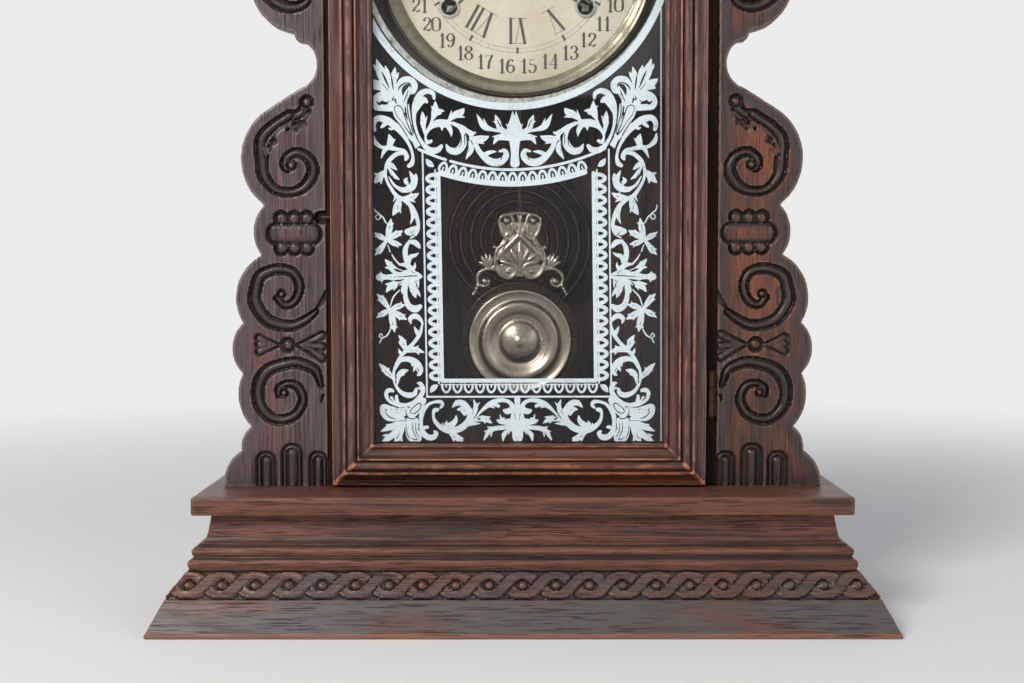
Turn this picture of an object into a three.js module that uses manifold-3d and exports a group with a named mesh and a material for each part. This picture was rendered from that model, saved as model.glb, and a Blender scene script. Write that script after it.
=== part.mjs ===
// An American pressed-oak shelf clock with a simple calendar dial, an eight-day time and strike
// movement, a spiral wire gong and a stencilled glass door. Millimetres, +Z up, the front looks
// along -Y. The origin is the centre of the base's footprint, on the surface that it stands on.
import * as THREE from 'three';
import { mergeVertices } from 'three/addons/utils/BufferGeometryUtils.js';
import Module from 'manifold-3d';

const wasm = await Module();
wasm.setup();

// ---------------------------------------------------------------- driving dimensions
const GAP = 0.3; // running or assembly clearance between touching pieces

// base
const BASE_WIDTH = 381;
const BASE_FRONT = -62;
const BASE_WALL = 40; // plan width of the mouldings at the floor
const BASE_PROFILE = [ // inset from the foot's edge, height
  [0, 0], [0, 1.3], [8.2, 17.4], [8.8, 18], [18.5, 30.2], [18.6, 35.2], [20, 36.8],
  [19.8, 38.7], [22, 41.5], [25.2, 43.7], [26.2, 45.4], [27.2, 49.5], [28.4, 58.5],
];
const PLANK_INSET = 19.5;
const PLANK_THICKNESS = 9.3;

// case
const BOX_HALF_WIDTH = 105.3;
const BOX_HEIGHT = 398.2; // from the base's top board to the underside of the case's top
const BOARD = 9; // sides, stiles and wings
const TOP_BOARD = 8;
const BACK_BOARD = 6;
const STILE_WIDTH = 21.3;
const STILE_FRONT = -4.5;
const WING_FRONT = -6;
const TOP_RAIL_HEIGHT = 22;

// outlines of the sawn wing and crest, right half: a start, then arcs [middle, end] or lines [end];
// each point is its distance out from the case's side and its height
const WING_START = [56.3, 67.8];
const WING_EDGE = [
  [[54.3, 79], [46.8, 87.1]], [[45.3, 95.6], [41.4, 100.2]], [[48.1, 116.5], [45.6, 129.1]],
  [[51.1, 142.6], [45.2, 156.3]], [[48.5, 173], [34.7, 192.9]], [[38.8, 205], [33.1, 219.5]],
  [[45, 245], [27.7, 272.3]], [[14.1, 280.9]], [[4, 296], [9.2, 305.6]], [[11.8, 306.4]],
  [[14.5, 307.4], [15.5, 311]], [[38.85, 337], [25.5, 360.4]], [[34.7, 381], [27.7, 402]],
  [[31.2, 413], [20.7, 423]], [[11.7, 432]], [[4.9, 441], [8.2, 451.5]], [[15.7, 462], [6.7, 474]],
];
const CREST_START = [6.7, 474];
const CREST_EDGE = [
  [[17.2, 484], [10.7, 497]], [[4.7, 511], [-11.3, 513]], [[-27.3, 514], [-39.3, 524]],
  [[-41.3, 541], [-56.3, 548]], [[-61.3, 559], [-74.3, 561]],
];
const CREST_SHOULDER = [24, 577]; // from the middle of the clock
const CREST_PEAK = 583;
const ARC_STEPS = 6;

// notch in the left wing's inner edge, where the door's pull pin lies
const NOTCH_HEIGHT = 7;
const NOTCH_DEPTH = 6.5;
const NOTCH_LEVEL = 145.2; // of its middle above the floor of the case

// door
const DOOR_REVEAL = { left: 3.5, right: 6.9, top: 1.5, bottom: 1.4 }; // its edges, inside the case's
const DOOR_BACK = -5;
const DOOR_PROFILE = [ // inset from the outer edge, height above the door's back
  [0, 0], [0, 7], [2.5, 7.8], [5, 10.2], [6.5, 11.6], [6.5, 12.6], [7.8, 12.8], [8.4, 11.5],
  [9, 13], [11, 13.8], [13, 13], [13.6, 11.4], [14.2, 12.6], [14.9, 12.6], [15.6, 10.4],
  [17.5, 8.9], [20.2, 8.3], [21.3, 9], [22.5, 8], [22.5, 4.7], [18, 4.7], [18, 0],
];
const GLASS_THICKNESS = 2;
const RABBET_LIP = 4.7; // height of the glass's seat above the door's back
const RABBET_INSET = 18;
const STRIP = [3.2, 2.3]; // width and depth of a glass retaining strip
const PULL_PIN_RADIUS = 0.9;
const PULL_PIN_DEPTH = 1.6; // of its middle, in front of the door's back

// hinges on the door's right edge
const HINGE_HEIGHTS = { lower: 50.2, upper: 350.2 }; // above the floor of the case
const KNUCKLE_OFFSET = 3.2; // from the door's edge to the pin
const KNUCKLE_RADIUS = 2.2;
const HINGE_PIN_RADIUS = 1;
const KNUCKLE_LENGTH = 8;
const LEAF = 0.6;

// dial
const DIAL_X = -2.2;
const DIAL_HEIGHT = 285.9; // of its centre above the floor of the case
const DIAL_FRONT = 8;
const DIAL_TIN = 1;
const PAN_RADIUS = 74.5;
const BEZEL_RADIUS = 75.3;
const BEZEL_OPENING = 66.9;
const BEZEL_DEPTH = 3.2;
const EAR_HEIGHT = 26;
const EAR_REACH = 82;
const BLOCK_DEPTH = 16; // glue blocks on the case sides, behind the dial's ears
const BLOCK_CLEARANCE = 1;
const ARBOR_X = 36.8; // winding arbors beside and below the hands
const ARBOR_DROP = 27;
const WINDING_HOLE_RADIUS = 5.3;
const GROMMET_BORE = 4.4;
const CENTRE_ARBOR_RADIUS = 1.6;
const PIPE_WALL = 1;
const HAND_SLIP = 0.1; // between a hand's bore and its pipe
const HOUR_ANGLE = 305; // clockwise from twelve
const MINUTE_ANGLE = 60;
const DATE_ANGLE = 290;

// movement layers, front to back (Y)
const ROD_Y = 16.6;
const ESCAPE_Y = [19, 20.2];
const HOUR_Y = [21.2, 22.2];
const CANNON_Y = [22.9, 23.9];
const FRONT_PLATE_Y = [25, 26.5];
const SECOND_Y = [28, 29.2];
const MAIN_Y = [30.5, 32.5];
const SPRING_Y = [33.5, 47];
const CENTRE_Y = [48, 49];
const BACK_PLATE_Y = [51, 52.5];
const MOVEMENT_FEET = 3.5; // from the back plate to the back board
const CALENDAR_Y = [11, 12.2];
const PLATE = { left: -62, right: 62, bottom: -70, top: 58 };
const PILLAR_INSET = 7; // from the plates' corners

// trains: tooth counts and modules (pitch diameter over count)
const TEETH = {
  main: 48, secondPinion: 8, second: 40, centrePinion: 8, centre: 56, thirdPinion: 6, third: 60,
  escapePinion: 6, escape: 38, cannon: 10, minute: 30, minutePinion: 8, hour: 32, calendar: 31,
  strikeSecond: 48, flyPinion: 6, ratchet: 14,
};
const MODULE = { main: 1.2, second: 1.1, centre: 0.85, third: 0.65, motion: 0.9, strike: 0.7 };
const TOOTH_REACH = 0.75; // of a module, above and below the pitch circle
const MESH_PLAY = 0.4; // of a module, added to each centre distance
const ESCAPE_RADIUS = 13;
const CALENDAR_RADIUS = 20;
const ARBOR_RADIUS = 1.2;
const CLICK = 1; // thickness of the winding clicks, in front of the main wheels
const WINDING_ARBOR_RADIUS = 2.2;
const MAINSPRING = [8, 28];
const ESCAPE_Z = 28.5; // above the dial's centre
const VERGE_Z = 44;
const CRUTCH_Z = 31; // of the crutch's prongs, above the dial's centre

// pendulum and gong
const SUSPENSION_Z = 51;
const ROD_RADIUS = 0.8;
const RATING_NUT_RADIUS = 1.9;
const ROD_CRANK = 9; // the rod's sideways bend round the centre arbor
const BOB = { x: -1.1, height: 77.6, radius: 32.9, back: 14.4 };
const BOB_PROFILE = [ // radius, height in front of the bob's back
  [0, 7.8], [4, 7.2], [9, 4.9], [11.8, 2.9], [13, 2.4], [15, 3.3], [17.4, 5], [19.9, 5.4],
  [21.9, 4.3], [22.8, 2.7], [24.4, 2.2], [26.6, 2.8], [27.6, 3.3], [28.2, 2.6], [28.6, 1.5],
  [32.9, 1.2], [32.9, 0],
];
const ORNAMENT_HEIGHT = 70.8; // above the bob's centre
const ORNAMENT_Y = [11.6, 14.5];
const GONG = { x: -2.7, height: 134.2, outer: 42.5, turns: 5, pitch: 6, wire: 1.3 };
const LOOP_STEPS = 24;
const LOOP_SIDES = 6;
const GONG_FOOT = 10.4;
const GONG_BACK_GAP = 0.6;
const HAMMER_PIVOT = [-17.8, -63.7]; // from the dial's centre
const HAMMER_ANGLE = 130; // where the hammer meets the gong's outer turn
const HAMMER_HEAD = 5;

// ---------------------------------------------------------------- derived places
const PLANK_BOTTOM = BASE_PROFILE.at(-1)[1];
const FLOOR = PLANK_BOTTOM + PLANK_THICKNESS;
const BOX_TOP = FLOOR + BOX_HEIGHT;
const CASE_TOP = BOX_TOP + TOP_BOARD;
const STILE_BACK = STILE_FRONT + BOARD;
const BOX_BACK = BACK_PLATE_Y[1] + MOVEMENT_FEET;
const BASE_BACK = BOX_BACK + BACK_BOARD;
const BASE_DEPTH = BASE_BACK - BASE_FRONT;
const DOOR_LEFT = DOOR_REVEAL.left - BOX_HALF_WIDTH;
const DOOR_RIGHT = BOX_HALF_WIDTH - DOOR_REVEAL.right;
const DOOR_BOTTOM = FLOOR + DOOR_REVEAL.bottom;
const DOOR_TOP = BOX_TOP - DOOR_REVEAL.top;
const HINGE_X = DOOR_RIGHT + KNUCKLE_OFFSET;
const HINGE_Y = STILE_FRONT - LEAF - GAP - KNUCKLE_RADIUS;
const PULL_PIN_Y = DOOR_BACK - PULL_PIN_DEPTH;
const NOTCH_Z = FLOOR + NOTCH_LEVEL;
const DIAL_BACK = DIAL_FRONT + DIAL_TIN;
const DIAL_Z = FLOOR + DIAL_HEIGHT;
const BOB_Z = FLOOR + BOB.height;
const GONG_Z = FLOOR + GONG.height;
const GONG_Y = BOX_BACK - GONG_FOOT - GONG_BACK_GAP;
const WING_RISE = FLOOR - WING_START[1];
const CREST_RISE = CASE_TOP - CREST_START[1];

// ---------------------------------------------------------------- finishes
function finish(color, roughness, metalness = 0) {
  return new THREE.MeshStandardMaterial({ color, roughness, metalness });
}
const OAK = finish(0x4a2a1e, 0.55);
const INNER_WOOD = finish(0x3a1f17, 0.7);
const NICKEL = finish(0x9a9488, 0.35, 1);
const BRASS = finish(0xa98b4d, 0.4, 1);
const STEEL = finish(0x6d6f72, 0.4, 1);
const BLUED = finish(0x1d2230, 0.4, 1);
const IRON = finish(0x1c1b1a, 0.7, 0.6);
const PAPER = finish(0xd9ceb5, 0.8);
const GLASS = finish(0xdfe6e8, 0.05);
GLASS.transparent = true;
GLASS.opacity = 0.3;

// ---------------------------------------------------------------- geometry helpers
const clock = new THREE.Group();
const movement = new THREE.Group();
movement.position.set(DIAL_X, 0, DIAL_Z);
clock.add(movement);

function piece(name, geometry, material, parent = clock) {
  const mesh = new THREE.Mesh(geometry, material);
  mesh.name = name;
  parent.add(mesh);
  return mesh;
}

function toSolid(geometry) {
  const bare = geometry.index ? geometry.toNonIndexed() : geometry.clone();
  bare.deleteAttribute('normal');
  bare.deleteAttribute('uv');
  const merged = mergeVertices(bare, 1e-4);
  const index = merged.index.array;
  const kept = [];
  for (let i = 0; i < index.length; i += 3) {
    const [a, b, c] = index.slice(i, i + 3);
    if (a !== b && b !== c && a !== c) kept.push(a, b, c);
  }
  return new wasm.Manifold(new wasm.Mesh({
    numProp: 3,
    vertProperties: new Float32Array(merged.attributes.position.array),
    triVerts: new Uint32Array(kept),
  }));
}

function toGeometry(solid) {
  const mesh = solid.getMesh();
  const geometry = new THREE.BufferGeometry();
  geometry.setAttribute('position', new THREE.BufferAttribute(new Float32Array(mesh.vertProperties), 3));
  geometry.setIndex(new THREE.BufferAttribute(new Uint32Array(mesh.triVerts), 1));
  return geometry;
}

function join(...geometries) {
  return toGeometry(geometries.map(toSolid).reduce((a, b) => a.add(b)));
}

function cut(geometry, ...tools) {
  return toGeometry(tools.map(toSolid).reduce((a, b) => a.subtract(b), toSolid(geometry)));
}

function box([x0, x1], [y0, y1], [z0, z1]) {
  const geometry = new THREE.BoxGeometry(x1 - x0, y1 - y0, z1 - z0);
  return geometry.translate((x0 + x1) / 2, (y0 + y1) / 2, (z0 + z1) / 2);
}

// a round bar along Y, standing at (x, z)
function barY(radius, [y0, y1], x = 0, z = 0, sides = 10) {
  const geometry = new THREE.CylinderGeometry(radius, radius, y1 - y0, sides);
  return geometry.translate(x, (y0 + y1) / 2, z);
}

function barZ(radius, [z0, z1], x, y, sides = 10) {
  const geometry = new THREE.CylinderGeometry(radius, radius, z1 - z0, sides);
  return geometry.rotateX(Math.PI / 2).translate(x, y, (z0 + z1) / 2);
}

// a bore's polygon stands outside the true circle, so that a bar of that radius runs free in it
function boreRadius(radius, sides = 10) {
  return (radius + GAP) / Math.cos(Math.PI / sides);
}

// a turned piece about a Y axis at (x, z): the profile gives radius and Y
function turned(profile, sides, x = 0, z = 0) {
  const area = profile.reduce((sum, [r, y], i) => {
    const [r1, y1] = profile[(i + 1) % profile.length];
    return sum + r * y1 - r1 * y;
  }, 0);
  const ordered = area > 0 ? profile : [...profile].reverse();
  const points = ordered.map(([r, y]) => new THREE.Vector2(r, y));
  if (ordered[0][0] > 0) points.push(points[0].clone());
  return new THREE.LatheGeometry(points, sides).translate(x, 0, z);
}

// a flat outline in X and Z, from yFront back to yBack
function sheet(outline, [yFront, yBack], holes = []) {
  const shape = new THREE.Shape(outline.map(([x, z]) => new THREE.Vector2(x, z)));
  for (const hole of holes) {
    shape.holes.push(new THREE.Path(hole.map(([x, z]) => new THREE.Vector2(x, z))));
  }
  const geometry = new THREE.ExtrudeGeometry(shape, { depth: yBack - yFront, bevelEnabled: false });
  return geometry.rotateX(Math.PI / 2).translate(0, yBack, 0);
}

function ring(radius, sides, x = 0, z = 0, start = 0) {
  return Array.from({ length: sides }, (_, i) => {
    const angle = start + (i * 2 * Math.PI) / sides;
    return [x + radius * Math.cos(angle), z + radius * Math.sin(angle)];
  });
}

// the points of the arc from a to b through m, without a
function arc(a, m, b, steps = ARC_STEPS) {
  const d = 2 * (a[0] * (m[1] - b[1]) + m[0] * (b[1] - a[1]) + b[0] * (a[1] - m[1]));
  const square = ([x, y]) => x * x + y * y;
  const cx = (square(a) * (m[1] - b[1]) + square(m) * (b[1] - a[1]) + square(b) * (a[1] - m[1])) / d;
  const cy = (square(a) * (b[0] - m[0]) + square(m) * (a[0] - b[0]) + square(b) * (m[0] - a[0])) / d;
  const radius = Math.hypot(a[0] - cx, a[1] - cy);
  const angleOf = ([x, y]) => Math.atan2(y - cy, x - cx);
  const turn = (from, to) => ((to - from) % (2 * Math.PI) + 2 * Math.PI) % (2 * Math.PI);
  const start = angleOf(a);
  const anticlockwise = turn(start, angleOf(m)) < turn(start, angleOf(b));
  const sweep = anticlockwise ? turn(start, angleOf(b)) : turn(start, angleOf(b)) - 2 * Math.PI;
  return Array.from({ length: steps }, (_, i) => {
    const angle = start + (sweep * (i + 1)) / steps;
    return [cx + radius * Math.cos(angle), cy + radius * Math.sin(angle)];
  });
}

function edge(start, stretches, rise) {
  const points = [start];
  for (const stretch of stretches) {
    const from = points.at(-1);
    points.push(...(stretch.length === 1 ? stretch : arc(from, stretch[0], stretch[1])));
  }
  return points.map(([x, z]) => [BOX_HALF_WIDTH + x, z + rise]);
}

// a straight moulding from start along a unit vector, with each end mitred or square
function moulding(section, start, along, inward, up, length, mitres) {
  const toVectors = (points) => points.map(([a, h]) => new THREE.Vector2(a, h));
  const profile = THREE.ShapeUtils.isClockWise(toVectors(section)) ? [...section].reverse() : section;
  const place = (a, h, distance) => new THREE.Vector3(...start)
    .addScaledVector(new THREE.Vector3(...along), distance)
    .addScaledVector(new THREE.Vector3(...inward), a)
    .addScaledVector(new THREE.Vector3(...up), h);
  const near = profile.map(([a, h]) => place(a, h, mitres[0] ? a + GAP / 2 : 0));
  const far = profile.map(([a, h]) => place(a, h, mitres[1] ? length - a - GAP / 2 : length));
  const positions = [...near, ...far].flatMap((p) => p.toArray());
  const count = profile.length;
  const index = [];
  for (let i = 0; i < count; i += 1) {
    const j = (i + 1) % count;
    index.push(i, j, j + count, i, j + count, i + count);
  }
  for (const [a, b, c] of THREE.ShapeUtils.triangulateShape(toVectors(profile), [])) {
    index.push(c, b, a, a + count, b + count, c + count);
  }
  const right = new THREE.Vector3().crossVectors(new THREE.Vector3(...inward), new THREE.Vector3(...up));
  if (right.dot(new THREE.Vector3(...along)) < 0) index.reverse();
  const geometry = new THREE.BufferGeometry();
  geometry.setAttribute('position', new THREE.BufferAttribute(new Float32Array(positions), 3));
  geometry.setIndex(index);
  return geometry;
}

// ---------------------------------------------------------------- base
function makeBase() {
  const half = BASE_WIDTH / 2;
  const profile = [...BASE_PROFILE, [BASE_WALL, PLANK_BOTTOM], [BASE_WALL, 0]];
  const up = [0, 0, 1];
  const front = moulding(profile, [-half, BASE_FRONT, 0], [1, 0, 0], [0, 1, 0], up, BASE_WIDTH, [1, 1]);
  piece('base_front_moulding', front, OAK);
  const left = moulding(profile, [-half, BASE_FRONT, 0], [0, 1, 0], [1, 0, 0], up, BASE_DEPTH, [1, 0]);
  piece('base_side_moulding_left', left, OAK);
  const right = moulding(profile, [half, BASE_FRONT, 0], [0, 1, 0], [-1, 0, 0], up, BASE_DEPTH, [1, 0]);
  piece('base_side_moulding_right', right, OAK);
  const reach = half - PLANK_INSET;
  const depth = [BASE_FRONT + PLANK_INSET, BASE_BACK];
  piece('base_top_board', box([-reach, reach], depth, [PLANK_BOTTOM, FLOOR]), OAK);
}

// ---------------------------------------------------------------- case
function makeCase() {
  const inner = BOX_HALF_WIDTH - BOARD;
  const stileInner = BOX_HALF_WIDTH - STILE_WIDTH;
  for (const [side, sign] of [['left', -1], ['right', 1]]) {
    const across = (a, b) => [Math.min(sign * a, sign * b), Math.max(sign * a, sign * b)];
    const board = box(across(inner, BOX_HALF_WIDTH), [STILE_BACK, BOX_BACK], [FLOOR, BOX_TOP]);
    const block = box(across(PAN_RADIUS + BLOCK_CLEARANCE, inner + 1), [DIAL_BACK, DIAL_BACK + BLOCK_DEPTH],
      [DIAL_Z - EAR_HEIGHT / 2, DIAL_Z + EAR_HEIGHT / 2]);
    piece(`case_side_${side}`, join(board, block), INNER_WOOD);
    const stile = box(across(stileInner, BOX_HALF_WIDTH), [STILE_FRONT, STILE_BACK], [FLOOR, BOX_TOP]);
    piece(`front_stile_${side}`, stile, OAK);
  }
  const railZ = [BOX_TOP - TOP_RAIL_HEIGHT, BOX_TOP];
  const rail = box([-stileInner, stileInner], [STILE_FRONT, STILE_BACK], railZ);
  piece('front_top_rail', rail, OAK);
  const width = [-BOX_HALF_WIDTH, BOX_HALF_WIDTH];
  piece('case_top_board', box(width, [WING_FRONT, BOX_BACK], [BOX_TOP, CASE_TOP]), OAK);
  piece('back_board', box(width, [BOX_BACK, BASE_BACK], [FLOOR, CASE_TOP]), INNER_WOOD);
}

function wingOutline(sign, notched) {
  const outer = edge(WING_START, WING_EDGE, WING_RISE);
  const inner = [[BOX_HALF_WIDTH, CASE_TOP]];
  if (notched) {
    const half = NOTCH_HEIGHT / 2;
    const deep = BOX_HALF_WIDTH + NOTCH_DEPTH - half;
    inner.push([BOX_HALF_WIDTH, NOTCH_Z + half], [deep, NOTCH_Z + half]);
    inner.push(...arc([deep, NOTCH_Z + half], [deep + half, NOTCH_Z], [deep, NOTCH_Z - half]));
    inner.push([BOX_HALF_WIDTH, NOTCH_Z - half]);
  }
  inner.push([BOX_HALF_WIDTH, FLOOR]);
  const points = [...outer, ...inner];
  return sign > 0 ? points : points.map(([x, z]) => [-x, z]).reverse();
}

function makeWingsAndCrest() {
  const depth = [WING_FRONT, WING_FRONT + BOARD];
  piece('side_wing_left', sheet(wingOutline(-1, true), depth), OAK);
  piece('side_wing_right', sheet(wingOutline(1, false), depth), OAK);
  const half = edge(CREST_START, CREST_EDGE, CREST_RISE);
  const shoulder = [CREST_SHOULDER[0], CREST_SHOULDER[1] + CREST_RISE];
  half.push(...arc(half.at(-1), shoulder, [0, CREST_PEAK + CREST_RISE]));
  const mirrored = half.slice(0, -1).reverse().map(([x, z]) => [-x, z]);
  piece('crest_panel', sheet([...half, ...mirrored], depth), OAK);
}

// ---------------------------------------------------------------- door
function makeDoor() {
  const height = DOOR_TOP - DOOR_BOTTOM;
  const width = DOOR_RIGHT - DOOR_LEFT;
  const out = [0, -1, 0];
  const sides = {
    door_stile_left: [[DOOR_LEFT, DOOR_BACK, DOOR_BOTTOM], [0, 0, 1], [1, 0, 0], height],
    door_stile_right: [[DOOR_RIGHT, DOOR_BACK, DOOR_BOTTOM], [0, 0, 1], [-1, 0, 0], height],
    door_rail_bottom: [[DOOR_LEFT, DOOR_BACK, DOOR_BOTTOM], [1, 0, 0], [0, 0, 1], width],
    door_rail_top: [[DOOR_LEFT, DOOR_BACK, DOOR_TOP], [1, 0, 0], [0, 0, -1], width],
  };
  for (const [name, [start, along, inward, length]] of Object.entries(sides)) {
    let geometry = moulding(DOOR_PROFILE, start, along, inward, out, length, [1, 1]);
    if (name === 'door_stile_left') {
      const hole = barX(boreRadius(PULL_PIN_RADIUS), [DOOR_LEFT - 1, DOOR_LEFT + 8], PULL_PIN_Y, NOTCH_Z);
      geometry = cut(geometry, hole);
    }
    piece(name, geometry, OAK);
  }
  const seat = RABBET_INSET + GAP;
  const glassFront = DOOR_BACK - RABBET_LIP;
  const glass = box([DOOR_LEFT + seat, DOOR_RIGHT - seat], [glassFront, glassFront + GLASS_THICKNESS],
    [DOOR_BOTTOM + seat, DOOR_TOP - seat]);
  piece('door_glass', glass, GLASS);
  const [stripWidth, stripDepth] = STRIP;
  const stripY = [glassFront + GLASS_THICKNESS, glassFront + GLASS_THICKNESS + stripDepth];
  const [x0, x1, z0, z1] = [DOOR_LEFT + seat, DOOR_RIGHT - seat, DOOR_BOTTOM + seat, DOOR_TOP - seat];
  const sight = box(
    [x0 + stripWidth, x1 - stripWidth], around(stripY, 1), [z0 + stripWidth, z1 - stripWidth]);
  piece('glass_retaining_frame', cut(box([x0, x1], stripY, [z0, z1]), sight), OAK);
  const pin = [-BOX_HALF_WIDTH - NOTCH_DEPTH / 3, DOOR_LEFT + 7];
  piece('door_pull_pin', barX(PULL_PIN_RADIUS, pin, PULL_PIN_Y, NOTCH_Z, 8), BRASS);
}

function barX(radius, [x0, x1], y, z, sides = 10) {
  const geometry = new THREE.CylinderGeometry(radius, radius, x1 - x0, sides);
  return geometry.rotateZ(Math.PI / 2).translate((x0 + x1) / 2, y, z);
}

function makeHinges() {
  const half = KNUCKLE_LENGTH * 1.5;
  for (const [name, height] of Object.entries(HINGE_HEIGHTS)) {
    const z = FLOOR + height;
    const mid = [z - KNUCKLE_LENGTH / 2 + GAP, z + KNUCKLE_LENGTH / 2 - GAP];
    const plate = [DOOR_RIGHT + GAP, BOX_HALF_WIDTH - GAP];
    const caseSide = [box(plate, [STILE_FRONT - LEAF, STILE_FRONT], [z - half, z + half])];
    for (const [z0, z1] of [[z - half, z - KNUCKLE_LENGTH / 2], [z + KNUCKLE_LENGTH / 2, z + half]]) {
      const web = [HINGE_X, HINGE_X + KNUCKLE_RADIUS];
      caseSide.push(barZ(KNUCKLE_RADIUS, [z0, z1], HINGE_X, HINGE_Y, 12));
      caseSide.push(box(web, [HINGE_Y, STILE_FRONT - LEAF / 2], [z0, z1]));
    }
    caseSide.push(barZ(HINGE_PIN_RADIUS, [z - half - 0.8, z + half + 0.8], HINGE_X, HINGE_Y, 8));
    piece(`${name}_hinge_case_leaf_and_pin`, join(...caseSide), BRASS);
    const plain = join(
      box([DOOR_RIGHT, DOOR_RIGHT + LEAF], [DOOR_BACK - 6.5, DOOR_BACK - LEAF], [z - half, z + half]),
      box([DOOR_RIGHT + LEAF / 2, HINGE_X], [HINGE_Y - 0.5, HINGE_Y + 0.5], mid),
      barZ(KNUCKLE_RADIUS, mid, HINGE_X, HINGE_Y, 12),
    );
    const bore = barZ(boreRadius(HINGE_PIN_RADIUS, 8), around(mid, 1), HINGE_X, HINGE_Y, 8);
    piece(`${name}_hinge_door_leaf`, cut(plain, bore), BRASS);
  }
  // a bent brass strip on the left stile's inner edge holds the shut door by friction
  const x = -BOX_HALF_WIDTH + STILE_WIDTH;
  const spring = join(
    box([x, x + LEAF], [STILE_FRONT + 1, STILE_BACK], [NOTCH_Z - 5, NOTCH_Z + 5]),
    box([x, x + 3], [STILE_FRONT + 1, STILE_FRONT + 1 + LEAF], [NOTCH_Z - 5, NOTCH_Z + 5]),
  );
  piece('door_catch_spring', spring, BRASS);
}

// ---------------------------------------------------------------- dial and hands
function makeDial() {
  const disc = sheet(ring(PAN_RADIUS, 48), [DIAL_FRONT, DIAL_BACK]);
  const ears = box([-EAR_REACH, EAR_REACH], [DIAL_FRONT, DIAL_BACK], [-EAR_HEIGHT / 2, EAR_HEIGHT / 2]);
  const through = [DIAL_FRONT - 1, DIAL_BACK + 1];
  const calendarPipe = CENTRE_ARBOR_RADIUS + 2 * (GAP + PIPE_WALL);
  const tools = [barY(boreRadius(calendarPipe, 16), through, 0, 0, 16)];
  for (const x of [-ARBOR_X, ARBOR_X]) tools.push(barY(WINDING_HOLE_RADIUS, through, x, -ARBOR_DROP, 16));
  piece('dial_pan', cut(join(disc, ears), ...tools), PAPER, movement);
  const back = DIAL_FRONT - GAP;
  const bezel = [
    [BEZEL_OPENING, back], [BEZEL_OPENING, back - 0.9], [BEZEL_OPENING + 2.6, back - BEZEL_DEPTH + 0.5],
    [BEZEL_OPENING + 6, back - BEZEL_DEPTH], [BEZEL_RADIUS - 0.9, back - BEZEL_DEPTH + 0.7],
    [BEZEL_RADIUS, back - 0.8], [BEZEL_RADIUS, back],
  ];
  piece('dial_bezel', turned(bezel, 48), NICKEL, movement);
  const lip = DIAL_FRONT - GAP;
  const grommet = [
    [GROMMET_BORE, lip - 0.6], [WINDING_HOLE_RADIUS + 0.3, lip - 0.6], [WINDING_HOLE_RADIUS + 0.3, lip],
    [WINDING_HOLE_RADIUS - GAP - 0.1, lip], [WINDING_HOLE_RADIUS - GAP - 0.1, DIAL_BACK + 0.8],
    [GROMMET_BORE, DIAL_BACK + 0.8],
  ];
  piece('winding_grommet_left', turned(grommet, 16, -ARBOR_X, -ARBOR_DROP), STEEL, movement);
  piece('winding_grommet_right', turned(grommet, 16, ARBOR_X, -ARBOR_DROP), STEEL, movement);
}

// a hand as a flat outline pointing up from its hub, then turned clockwise
function hand(outline, front, bore, hub, degrees, thickness = 0.6) {
  const blade = sheet([...outline, ...outline.slice(0, -1).reverse().map(([x, z]) => [-x, z])],
    [front, front + thickness]);
  const boss = barY(hub, [front - 0.4, front + thickness + 0.4], 0, 0, 16);
  const hole = barY(bore / Math.cos(Math.PI / 16), [front - 2, front + thickness + 2], 0, 0, 16);
  return cut(join(blade, boss), hole).rotateY((degrees * Math.PI) / 180);
}

const HOUR_OUTLINE = [
  [1.6, 0], [1.1, 12], [4.2, 18], [5.4, 23], [3.4, 27], [1, 28.5], [0.8, 32], [0, 37],
];
const MINUTE_OUTLINE = [[1.5, 0], [1, 20], [3, 27], [3.6, 31], [2, 35], [0.8, 37], [0.6, 44], [0, 51]];
const DATE_OUTLINE = [[1.3, 0], [0.6, 40], [2.4, 47], [2.2, 50], [0.6, 52], [0, 57]];

function makeHands() {
  const hourPipe = CENTRE_ARBOR_RADIUS + GAP + PIPE_WALL;
  const calendarPipe = hourPipe + GAP + PIPE_WALL;
  piece('calendar_hand', hand(DATE_OUTLINE, 5, calendarPipe + HAND_SLIP, 7, DATE_ANGLE), BLUED, movement);
  piece('hour_hand', hand(HOUR_OUTLINE, 2.4, hourPipe + HAND_SLIP, 5.5, HOUR_ANGLE), BLUED, movement);
  const minuteBore = CENTRE_ARBOR_RADIUS + HAND_SLIP;
  piece('minute_hand', hand(MINUTE_OUTLINE, -0.4, minuteBore, 4, MINUTE_ANGLE), BLUED, movement);
  const nut = turned([
    [CENTRE_ARBOR_RADIUS + HAND_SLIP, -3.2], [2.6, -3.2], [3.4, -2.4], [3.4, -1],
    [CENTRE_ARBOR_RADIUS + HAND_SLIP, -1],
  ], 16);
  piece('hand_nut', nut, BRASS, movement);
}

// ---------------------------------------------------------------- wheels
function pitchRadius(count, module) {
  return (count * module) / 2;
}

// a toothed outline: two points for each tooth, a tooth's tip at the phase angle
function teeth(count, module, phase) {
  const radius = pitchRadius(count, module);
  const reach = TOOTH_REACH * module;
  return Array.from({ length: 2 * count }, (_, i) => {
    const angle = phase + (i * Math.PI) / count;
    const r = radius + (i % 2 ? -reach : reach);
    return [r * Math.cos(angle), r * Math.sin(angle)];
  });
}

// the phase that puts a follower's gap where the driver's tooth points, seen along `angle`
function meshPhase(driverCount, driverPhase, followerCount, angle) {
  const driverPitch = (2 * Math.PI) / driverCount;
  const followerPitch = (2 * Math.PI) / followerCount;
  const past = (angle - driverPhase) / driverPitch;
  return angle + Math.PI - followerPitch * (0.5 - past);
}

function distance(countA, countB, module) {
  return pitchRadius(countA + countB, module) + MESH_PLAY * module;
}

function wheel(count, module, phase, layer, windows = 4) {
  const radius = pitchRadius(count, module);
  const holes = Array.from({ length: windows }, (_, i) => {
    const angle = ((i + 0.5) * 2 * Math.PI) / windows;
    return ring(0.27 * radius, 8, 0.58 * radius * Math.cos(angle), 0.58 * radius * Math.sin(angle));
  });
  return sheet(teeth(count, module, phase), layer, holes);
}

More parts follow.
